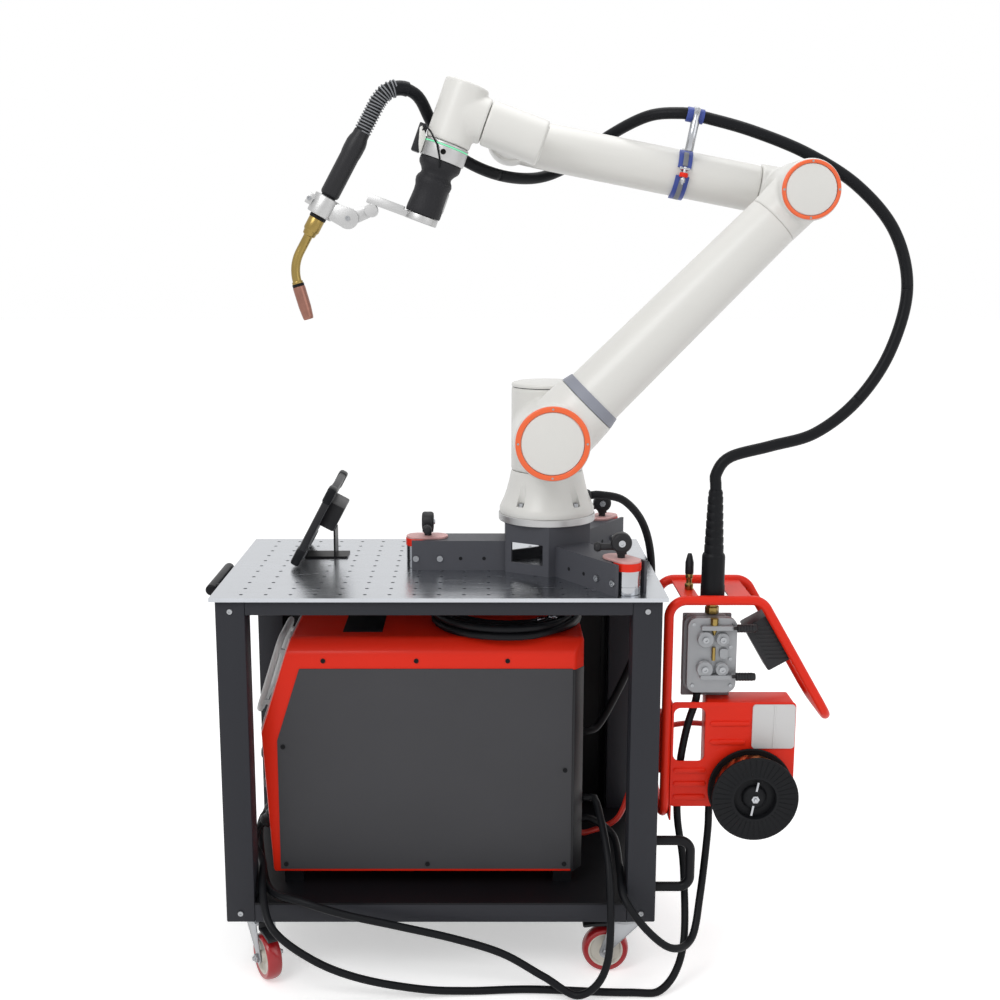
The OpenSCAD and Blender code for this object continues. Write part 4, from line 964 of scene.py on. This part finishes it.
def cart():
    """Drilled steel table on a charcoal tube frame."""
    sizes = {"Size": (TABLE_W / 1000, TABLE_D / 1000, TABLE_T / 1000), "Rows": (0.8, 0.5, 0.0),
             "Columns": 17, "Lines": 11, "Hole radius": 0.004}
    middle = METRES @ at(0, 0, TABLE_Z - TABLE_T / 2) @ Matrix.Scale(1000, 4)
    top = bpy.data.meshes.new("table_plate")
    grow("table_plate", top, HOLES, sizes, "table", "cart", middle, nodes=["table_top"])
    bm = bmesh.new()
    for sx in (-1, 1):
        for sy in (-1, 1):
            post = at(POST_X * sx, POST_Y * sy, 0)
            block(bm, (-POST_HALF, -POST_HALF, FRAME_Z), (POST_HALF, POST_HALF, PLATE_Z), post)
    piece("post_tubes", bm, "charcoal", "cart", bevel=3, nodes=["corner_posts"])
    bm = bmesh.new()
    for z0, z1 in ((FRAME_Z, FRAME_Z + 40), (PLATE_Z - 30, PLATE_Z)):
        for s in (-1, 1):
            block(bm, (-390, -20, z0), (390, 20, z1), at(0, 250 * s, 0))
            block(bm, (-20, -210, z0), (20, 210, z1), at(430 * s, 0, 0))
    piece("rail_tubes", bm, "charcoal", "cart", bevel=2, nodes=["frame_rails"])
    # Lips of the back sheet, in the same black coat, darker than its charcoal, as painted shade inside the
    # cart
    bm = bmesh.new()
    for s in (-1, 1):
        block(bm, (min(376 * s, 389.98 * s), 262, 184), (max(376 * s, 389.98 * s), 266.1, 806.5), CELL)
    piece("back_sheet_lips", bm, "black_metal", "cart", bevel=0.6)
    spots = []
    for s in (-1, 1):
        for z in (160, 815):
            spots += [((POST_X * s, (POST_Y + POST_HALF) * k, z), (0, k, 0)) for k in (-1, 1)]
            spots += [(((POST_X + POST_HALF) * s, POST_Y * k, z), (s, 0, 0)) for k in (-1, 1)]
    screws("frame_screws", spots, 5.5, 2.6, "zinc", "cart")


def push_handle():
    """Round bar on two stubs at the cart's end."""
    bm = bmesh.new()
    lathe(bm, drum(12, 210, 5), at(-492, -105, 816) @ ALONG_Y, seg=40)
    for s in (-1, 1):
        lathe(bm, drum(9, 40, 1), at(-450, 81 * s, 816) @ turn(-90, "Y"), seg=32)
        block(bm, (-455, 81 * s - 18, 808), (-450, 81 * s + 18, 834), CELL)
    piece("handle_bar", bm, "black_metal", "cart", bevel=1, nodes=["push_handle"])


def castor(i, x, y, a):
    """Fork, brake pedal, tread and hub of one castor."""
    fork = at(x, y, 0) @ turn(a, "Z")
    axle = fork @ shift(38, 0, 50)
    bm = bmesh.new()
    lathe(bm, [(0, 116), (24, 116), (31, 119), (32, 122), (32, 125), (30, 125.6), (0, 125.6)], fork, seg=48)
    leg = [(-30, 124), (30, 124), (31, 112)] + arc(38, 50, 14, 25, -205, 14) + [(-31, 112)]
    for y0, y1 in ((-22.6, -19.2), (19.2, 22.6)):
        plate(bm, leg, y0, y1, fork)
    block(bm, (-30, -22, 118), (30, 22, 124), fork)
    piece(f"castor_fork_sheet_{i}", bm, "zinc", f"castor_{i}", bevel=0.8, nodes=[f"castor_fork_{i}"])
    bm = bmesh.new()
    for s in (-1, 1):
        lathe(bm, [(0, 0), (9.5, 0), (9.5, 6), (8.5, 7), (5, 7), (5, 11), (0, 11)],
              axle @ turn(-90 * s, "X") @ up(22.6), seg=6)
    lathe(bm, [(0, -22), (6, -22), (6, 22), (0, 22)], axle @ ALONG_Y, seg=24)
    piece(f"castor_bolt_{i}", bm, "zinc", f"castor_{i}", bevel=0.4)
    pedal = [(26, 125), (26, 106), (60, 105), (84, 102), (88, 105), (84, 109), (60, 112), (33, 113),
             (32, 125)]
    plate_piece(f"castor_pedal_{i}", "black", f"castor_{i}", pedal, -15, 15, fork, bevel=2)
    crown = [(44 + polar(6, tip)[0], polar(10, tip)[1] * 1.6) for tip in range(-75, 76, 15)]
    tread = [(37, -14), (44, -16)] + crown + [(44, 16), (37, 14)]
    turned_piece(f"castor_tread_{i}", "tread", f"wheel_{i}", tread, axle @ ALONG_Y, closed=True,
                 nodes=[f"castor_wheel_{i}"], sharp=50)
    turned_piece(f"castor_hub_{i}", "hub", f"wheel_{i}", [(6.3, -17), (13, -17), (14, -16), (14.5, -9),
                 (31, -8), (34, -13.5), (37.2, -14), (37.2, 14), (34, 13.5), (31, 8), (14.5, 9), (14, 16),
                 (13, 17), (6.3, 17)], axle @ ALONG_Y, closed=True, sharp=40)


cart()
push_handle()
for i, (x, y, a) in enumerate(((-390, -210, -60), (390, -210, 180), (-390, 210, 150), (390, 210, 30))):
    castor(i + 1, x, y, a)


# Tripod, magnets and tablet

LEG_TURNS = (180, -57, 57)
MAGNET_OUT = 280
LEVER_OUT = 260
HUB = at(ROBOT_X, 0, TABLE_Z)


def tripod_details():
    """Bolts and plug holes on the arms, the holes as flat dark discs of painted shade, and the three
    switched magnets.
    """
    bolts = []
    holes = []
    for a in LEG_TURNS:
        leg = turn(a, "Z")
        for s in (-1, 1):
            side = leg.to_3x3() @ Vector((0, s, 0))
            bolts += [(leg @ Vector((r, 40 * s, 26)), side) for r in (233, 285)]
            holes += [(leg @ Vector((r, 40 * s, 26)), side) for r in (137, 188)]
    screws("arm_bolts", bolts, 6.5, 4.5, "zinc", "cart", HUB)
    # The arm holes are flat near-black discs: painted shade where the holes are
    screws("arm_holes", holes, 4, 0.4, "dark", "cart", HUB)
    steel = bmesh.new()
    red = bmesh.new()
    top = bmesh.new()
    black = bmesh.new()
    knobs = []
    oval = arc(0, 0, 27.4, -90, 90, 24) + arc(-36.6, 0, 27.4, 90, 270, 24)
    for a, w in zip(LEG_TURNS, (90, 0, 0)):
        foot = HUB @ turn(a, "Z") @ shift(MAGNET_OUT, 0, 0)
        lathe(steel, [(0, 0), (26.5, 0), (27.5, 1), (27.5, 16), (27, 16.6), (27, 17.4), (27.5, 18),
              (27.5, 50), (0, 50)], foot, seg=72)
        lathe(red, [(0, 49), (28, 49), (28.4, 50), (28.4, 64.5), (27.6, 65.2), (0, 65.2)], foot, seg=72)
        plate(top, oval, 65.2, 69.8, foot @ turn(90, "X"))
        lever = Matrix.Translation(HUB @ turn(a, "Z") @ Vector((LEVER_OUT, 0, 0))) @ turn(w, "Z")
        lathe(black, drum(8, 16, 1), lever @ up(69), seg=32)
        block(black, (-10, -12, 78), (10, 12, 102), lever)
        lathe(black, drum(21, 26, 6), lever @ shift(0, -13, 101) @ ALONG_Y, seg=48)
        lathe(black, drum(7, 30, 3), lever @ shift(-14, 0, 92) @ turn(-90, "Y"), seg=32)
        lathe(black, drum(10, 16, 7), lever @ shift(-40, 0, 92) @ turn(-90, "Y"), seg=32)
        knobs.append((lever @ Vector((0, -13, 101)), lever.to_3x3() @ Vector((0, -1, 0))))
    piece("magnet_bodies", steel, "steel", "cart", nodes=["magnet_feet"], sharp=30)
    piece("magnet_collars", red, "red", "cart", sharp=30)
    piece("magnet_tops", top, "pink", "cart", bevel=0.8)
    piece("magnet_levers", black, "black", "cart", bevel=1.6)
    screws("lever_screws", knobs, 7, 3, "steel", "cart", Matrix())


def tablet():
    """Hand panel with its screen, corner bumpers and the cradle behind."""
    lean = at(-318, -20, TABLE_Z) @ turn(28, "Y")
    bm = bmesh.new()
    block(bm, (-18, 2, 2), (-2, 248, 192), lean)
    block(bm, (-4, 65, 92), (32, 185, 152), lean)
    piece("panel_shell", bm, "black", "cart", bevel=4, nodes=["tablet"])
    block_piece("panel_screen", "glass", "cart", (-18.8, 22, 22), (-16, 228, 172), lean, bevel=0.6)
    bm = bmesh.new()
    for y in (0, 210):
        for z in (0, 154):
            block(bm, (-20.5, y, z), (0, y + 40, z + 40), lean)
    piece("panel_bumpers", bm, "rubber", "cart", bevel=6)


tripod_details()
tablet()


# Power source

SOURCE = at(-30, -50, 219)


def power_source():
    """Red case with dark sides, a grey nose with its bow and sockets, and a tray on top."""
    bm = bmesh.new()
    low = [(-330, 0), (-348, 313), (-292, 488), (311, 488), (311, 0)]
    high = [(-330, 0), (-348, 313), (-283, 516), (330, 516), (330, 0)]
    rows = [[bm.verts.new(SOURCE @ Vector((x, y, z))) for x, z in outline]
            for y, outline in ((-150, low), (-124, high), (124, high), (150, low))]
    for a, b in zip(rows, rows[1:]):
        for k in range(5):
            n = (k + 1) % 5
            bm.faces.new((a[k], a[n], b[n], b[k]))
    bm.faces.new(rows[0])
    bm.faces.new(rows[3])
    piece("case_shell", bm, "red", "cart", bevel=6, nodes=["source_case"])
    bm = bmesh.new()
    sheet = [(-314, 8), (-314, 297), (-264, 454), (306, 454), (306, 8)]
    for y0, y1 in ((-152.8, -149), (149, 152.8)):
        plate(bm, sheet, y0, y1, SOURCE)
    piece("case_sides", bm, "panel", "cart", bevel=0.8, nodes=["source_side_panels"])
    spots = []
    edge = ((-302, 20), (-302, 284), (292, 232), (292, 20), (0, 20))
    for s in (-1, 1):
        spots += [((x, 152.8 * s, z), (0, s, 0)) for x, z in edge]
        spots += [((x, 150 * s, 471), (0, s, 0)) for x in (-214, -20, 170)]
    screws("case_screws", spots, 5, 2, "dark", "cart", SOURCE)
    nose = [(-330.5, 34), (-348.5, 313), (-285, 510), (-289, 510), (-353, 313), (-335, 34)]
    plate_piece("nose_panel", "grey", "cart", nose, -118, 118, SOURCE, bevel=1, nodes=["source_front"])
    bm = bmesh.new()
    slope = SOURCE @ shift(-348, 0, 313) @ turn(math.degrees(math.atan2(65, 203)), "Y")
    bow = [(-21, -83, 19), (-21, 83, 19), (-21, 83, 189), (-21, -83, 189)]
    tube(bm, rounded_path(bow, 22, closed=True), 7, slope, closed=True)
    for y in (-83, 83):
        for z in (45, 163):
            block(bm, (-21, y - 5, z - 5), (-2, y + 5, z + 5), slope)
    piece("nose_bow", bm, "grey", "cart", bevel=1.5, sharp=60)
    bm = bmesh.new()
    for y in (-110, -50):
        mouth = SOURCE @ shift(-354, y, 95) @ turn(45, "Y")
        lathe(bm, [(0, 6), (9, 6), (9, 0.3), (13, 0.3), (15, 2), (15, 10), (13.5, 12), (13.5, 20), (16, 22),
              (16, 34), (0, 34)], mouth, seg=40)
    piece("nose_sockets", bm, "black", "cart", bevel=0.5)
    bm = bmesh.new()
    for x, z in ((-343, 250), (-338, 182)):
        lathe(bm, drum(12, 14, 3), SOURCE @ shift(x, -95, z) @ turn(-90, "Y"), seg=40)
    piece("nose_dials", bm, "gearbox", "cart")
    block_piece("case_tray", "dark", "cart", (-178, -92, 515), (-94, 60, 519), SOURCE, bevel=1.5)
    block_piece("nose_display", "glass", "cart", (-350, -70, 120), (-336, 70, 285), SOURCE, bevel=3)
    rear = [(306, -150.8), (311.3, -150.8), (330.8, -124.3), (330.8, 124.3), (311.3, 150.8), (306, 150.8)]
    plate_piece("case_rear", "black", "cart", rear, 2, 452, SOURCE @ turn(90, "X"), bevel=1)
    slats = [((331.2, 0, 120 + 22 * k), (1, 0, 0)) for k in range(15)]
    bars("case_louvres", slats, (7, 220, 3), "dark", "cart", SOURCE)


power_source()


# Spare cable coiled on the power source

def spare_cable():
    """Two layers of three turns, each turn easing into the next, with a fitting on the end."""
    turns = []
    for layer, radii in ((0, (120, 138, 156)), (1, (156, 138, 120))):
        for k, r in enumerate(radii):
            last = layer == 1 and k == 2
            goal = radii[k + 1] if k < 2 else radii[k]
            for s in range(0, 36):
                if last and s > 30:
                    break
                t = s / 36
                ease = max(0.0, (t - 0.8) / 0.2)
                rr = r + (goal - r) * ease
                z = 8.5 + 17 * layer
                if layer == 0 and k == 2:
                    z += 17 * ease
                a = 2 * math.pi * t
                turns.append(mm(140 + rr * math.cos(a), -50 + rr * math.sin(a), 735 + z))
    ahead = (turns[-1] - turns[-2]).normalized()
    end = Matrix.Translation(turns[-1] * 1000) @ ahead.to_track_quat("Z", "Y").to_matrix().to_4x4()
    plug = [(0, 0), (9, 0), (10, 2), (10, 16), (8, 18), (8, 30), (10.5, 31), (10.5, 44), (9, 46), (0, 46)]
    fitting = turned_piece("spare_cable_fitting", "steel", "cart", plug, end, seg=32)
    cord("spare_cable", turns, 16, body="cart", node="cable_coil")


spare_cable()


# Wire feeder

LOOP_X = 472
LOOP_FRONT = -205
LOOP_BACK = -25
LOOP_TOP = 821
LOOP_LOW = 348
LOOP_BEND = 40
LOOP_RUN = 128
FALL = 60
SLOPE_LEN = 272


def feeder_frame():
    """One bent tube: two loops joined at their lower ends."""
    corner = LOOP_BEND * math.tan(math.radians(FALL / 2))
    run_end = LOOP_X + LOOP_BEND + LOOP_RUN + corner
    out, down = polar(SLOPE_LEN + corner, FALL)
    foot = (run_end + out, LOOP_TOP - down)
    loop = [(LOOP_X, LOOP_LOW), (LOOP_X, LOOP_TOP), (run_end, LOOP_TOP), foot]
    front = [(x, LOOP_FRONT, z) for x, z in loop]
    back = [(x, LOOP_BACK, z) for x, z in reversed(loop)]
    bm = bmesh.new()
    tube(bm, rounded_path(front + back, 36, closed=True, steps=10), 10, CELL, closed=True, sides=24)
    piece("frame_tube", bm, "red", "cart", nodes=["feeder_frame"], sharp=80)


def feeder_body():
    """Pressed panel with its box and lug, the light plate and the black cover."""
    bm = bmesh.new()
    plate(bm, round_box(483.5, 366.3, 746, 598, 10), -195, -191.5, CELL)
    slot = bmesh.new()
    plate(slot, round_box(490, 468, 556, 585, 14), -200, -186, CELL)
    piece("pressed_panel", bm, "red", "cart", bevel=1.2, nodes=["feeder_housing"], cutter=slot)
    block_piece("panel_flange", "red", "cart", (483.5, -204.6, 339), (487, -121, 597), CELL, bevel=0.8)
    block_piece("control_box", "red", "cart", (560, -191.4, 370), (742, -123, 598), CELL, bevel=5)
    bm = bmesh.new()
    for x0, x1, z in ((492, 560, 442), (492, 560, 412), (492, 560, 382), (566, 650, 546), (566, 640, 505)):
        plate(bm, round_box(x0, z, x1, z + 11, 5.4), -198.5, -194.5, CELL)
    piece("panel_ridges", bm, "red", "cart", bevel=1.8)
    plate_piece("hanging_lug", "red", "cart", [(450.5, 430), (470, 424), (483.4, 440), (483.4, 560),
                (450.5, 560)], -158, -122, CELL, bevel=4)
    bm = bmesh.new()
    plate(bm, round_box(654, 497, 744, 594, 8), -199, -195.2, CELL)
    plate(bm, [(697, 499), (701, 499), (703, 592), (699, 592)], -200.4, -198.4, CELL)
    piece("light_plate", bm, "grey", "cart", bevel=1.2, nodes=["feeder_plate"])
    slope = math.radians(FALL)
    start = (LOOP_X + LOOP_BEND + LOOP_RUN + LOOP_BEND * math.sin(slope),
             LOOP_TOP - LOOP_BEND * (1 - math.cos(slope)))
    mid = (start[0] + 68 * math.cos(slope) - 30 * math.sin(slope),
           start[1] - 68 * math.sin(slope) - 30 * math.cos(slope))
    box = at(mid[0], LOOP_FRONT + 10.3 + 28, mid[1]) @ turn(FALL - 90, "Y")
    block_piece("black_cover", "black", "cart", (-29.5, -27.5, -54.5), (29.5, 27.5, 54.5), box, bevel=4,
                nodes=["feeder_cover"])
    bars("cover_ribs", [((0, -27.8, -40 + 10 * k), (0, -1, 0)) for k in range(9)], (44, 3, 1.6), "black",
         "cart", box)


def drive():
    """Cast drive plate with its gearbox, rollers, pressure arms and knobs."""
    bm = bmesh.new()
    plate(bm, round_box(508, 618, 606, 780, 20), -176, -150, CELL)
    block(bm, (510, -150, 598.4), (612, -141, 778), CELL)
    lathe(bm, drum(34, 90, 3), at(FEED_X, -150, 699) @ ALONG_Y)
    piece("gearbox", bm, "gearbox", "cart", bevel=2)
    plate_piece("drive_plate", "cast", "cart", round_box(514, 618, 617, 780, 20), -192, -176.2, CELL,
                bevel=2, nodes=["drive_unit"])
    rows = (672, 736)
    columns = ((550, 17), (586, 14))
    bm = bmesh.new()
    for z in rows:
        for x, r in columns:
            lathe(bm, [(0, 0), (r - 1, 0), (r, 1), (r, 4), (r - 1.5, 5), (r - 1.5, 7), (r, 8), (r, 11),
                  (r - 1, 12), (0, 12)], at(x, -204, z) @ ALONG_Y, seg=48)
    piece("feed_rollers", bm, "cast", "cart", nodes=["drive_rollers"], sharp=30)
    heads = [((x, -204, z), (0, -1, 0)) for z in rows for x, r in columns]
    screws("roller_screws", heads, 6.5, 4, "zinc", "cart")
    heads = [((x, -192, z), (0, -1, 0)) for z in (634, 766) for x in (526, 606)]
    heads += [((604, -192, z), (0, -1, 0)) for z in (692, 718)]
    screws("plate_screws", heads, 3.6, 2.4, "zinc", "cart")
    bm = bmesh.new()
    for z in (655, 761):
        plate(bm, round_box(540, z - 5, 608, z + 5, 4), -206, -192, CELL)
    plate(bm, round_box(580, 694, 598, 716, 6), -200, -192, CELL)
    piece("pressure_arms", bm, "cast", "cart", bevel=1.2)
    bm = bmesh.new()
    for z in (658, 762):
        shape = [(0, 0), (3.4, 0), (3.4, 8)]
        for k in range(6):
            shape += [(8.6, 8 + 6 * k), (8.6, 12 + 6 * k), (7.8, 13 + 6 * k)]
        lathe(bm, shape + [(8.2, 46), (6.6, 48), (0, 48)], at(606, -207.3, z) @ ALONG_X, seg=28)
    piece("tension_knobs", bm, "black", "cart", sharp=30)
    bm = bmesh.new()
    wire_line = at(FEED_X, -196, 0)
    lathe(bm, [(0, 744), (2, 744), (7, 756), (8, 760), (8, 780), (0, 780)], wire_line, seg=32)
    lathe(bm, [(0, 690), (4, 690), (4, 718), (0, 718)], wire_line, seg=24)
    piece("wire_guides", bm, "brass", "cart", sharp=30)
    turned_piece("brass_socket", "brass", "cart", [(0, 0), (15, 0), (15, 14), (12, 16), (12, 20), (15, 22),
                 (15, 30), (0, 30)], at(FEED_X, FEED_Y, 782), seg=6, bevel=0.8, nodes=["torch_socket"])
    tap = at(525, -120, 823)
    turned_piece("gas_fitting", "brass", "cart", [(0, 0), (9, 0), (9, 12), (6, 14), (6, 24), (8, 25),
                 (8, 34), (0, 34)], tap, seg=24, bevel=0.6)
    turned_piece("gas_fitting_cap", "black", "cart", [(0, 34), (8.5, 34), (9, 35), (9, 58), (6, 72), (4, 78),
                 (0, 78)], tap, seg=24, bevel=0.6)


def spool():
    """Black wire spool with ribbed flanges, its wire and the spindle's bar and nut."""
    axis = at(653, -260, 410) @ ALONG_Y
    bm = bmesh.new()
    for z in (0, 51):
        flange = [(44, z), (48, z - 0.2), (50, z + 0.8), (85, z + 0.8), (87, z - 0.2), (90, z), (90, z + 4),
                  (44, z + 4)]
        lathe(bm, flange, axis, seg=96, closed=True)
    lathe(bm, [(44, 2), (52, 2), (52, 53), (44, 53)], axis, closed=True)
    lathe(bm, [(25.6, 14), (45, 14), (45, 40), (25.6, 40)], axis, closed=True)
    piece("spool_flanges", bm, "dark", "spool", bevel=0.5, nodes=["wire_spool"], sharp=30)
    bm = bmesh.new()
    for k in range(40):
        spoke = axis @ turn(9 * k, "Z") @ shift(67.5, 0, 0.6)
        block(bm, (-17, -0.7, -0.6), (17, 0.7, 0.4), spoke)
    piece("spool_ribs", bm, "dark", "spool")
    turned_piece("wire_bed", "wire", "spool", [(52, 5), (78, 5), (78, 50), (52, 50)], axis, closed=True)
    spring("wound_wire", [(0, 0, z) for z in range(6, 51, 4)], 78.4, 36, 0.7, "wire", "spool", axis)
    turned_piece("spool_spindle", "dark", "cart", [(0, 1), (12, 1), (22, 6), (25, 10), (25, 64.5),
                 (0, 64.5)], axis, seg=48, sharp=40)
    bm = bmesh.new()
    block(bm, (-2.2, -36, 3), (2.2, 38, 9), axis @ turn(10, "Z"))
    lathe(bm, [(0, -3), (8, -3), (9, -2), (9, 6), (0, 6)], axis, seg=6)
    lathe(bm, [(0, -8), (3.5, -8), (4, -7), (4, 0), (0, 0)], axis, seg=20)
    piece("spindle_bar", bm, "steel", "cart", bevel=0.8)


feeder_frame()
feeder_body()
drive()
spool()


# Stage and light
FLOOR_HALF = 30
floor_me = bpy.data.meshes.new("floor")
floor_corners = [(FLOOR_HALF * x, FLOOR_HALF * y, 0) for x, y in ((-1, -1), (1, -1), (1, 1), (-1, 1))]
floor_me.from_pydata(floor_corners, [], [(0, 1, 2, 3)])
floor = placed("floor", floor_me)
floor_m = bpy.data.materials.new("floor")
floor_m.use_nodes = True
floor_me.materials.append(floor_m)


def lift(t, low, high):
    """A strength that is high for rays from the camera, gloss and glass, and low for the others."""
    path = step(t, "ShaderNodeLightPath", {})
    seen = path["Is Camera Ray"]
    for other in ("Is Glossy Ray", "Is Transmission Ray"):
        seen = maths(t, "MAXIMUM", seen, path[other])
    return step(t, "ShaderNodeMapRange", {"Value": seen, "To Min": low, "To Max": high})["Result"]


fn = floor_m.node_tree
fill(fn, fn.nodes["Principled BSDF"], {"Base Color": (0.9, 0.9, 0.9, 1), "Roughness": 0.9,
                                       "Emission Color": (1, 1, 1, 1),
                                       "Emission Strength": lift(fn, 0.0, 0.45)})

world = bpy.data.worlds.new("studio")
scene.world = world
world.use_nodes = True
wn = world.node_tree
fill(wn, wn.nodes["Background"], {"Color": (1, 1, 1, 1), "Strength": lift(wn, 0.62, 1.0)})


def lamp(name, place, aim, size, power):
    """A square lamp at a place, turned to what it lights."""
    data = bpy.data.lights.new(name, "AREA")
    data.size = size
    data.energy = power
    ob = placed(name, data)
    ob.location = place
    ob.rotation_euler = (Vector(aim) - Vector(place)).to_track_quat("-Z", "Y").to_euler()


lamp("key", (-1.6, -2.6, 3.4), (0, 0, 1.1), 1.6, 45)
lamp("fill", (2.6, -2.4, 2.2), (0, 0, 0.9), 2.0, 14)
lamp("top", (0.3, 0.6, 4.2), (0, 0, 1.0), 2.4, 40)
scene.view_settings.view_transform = "Standard"
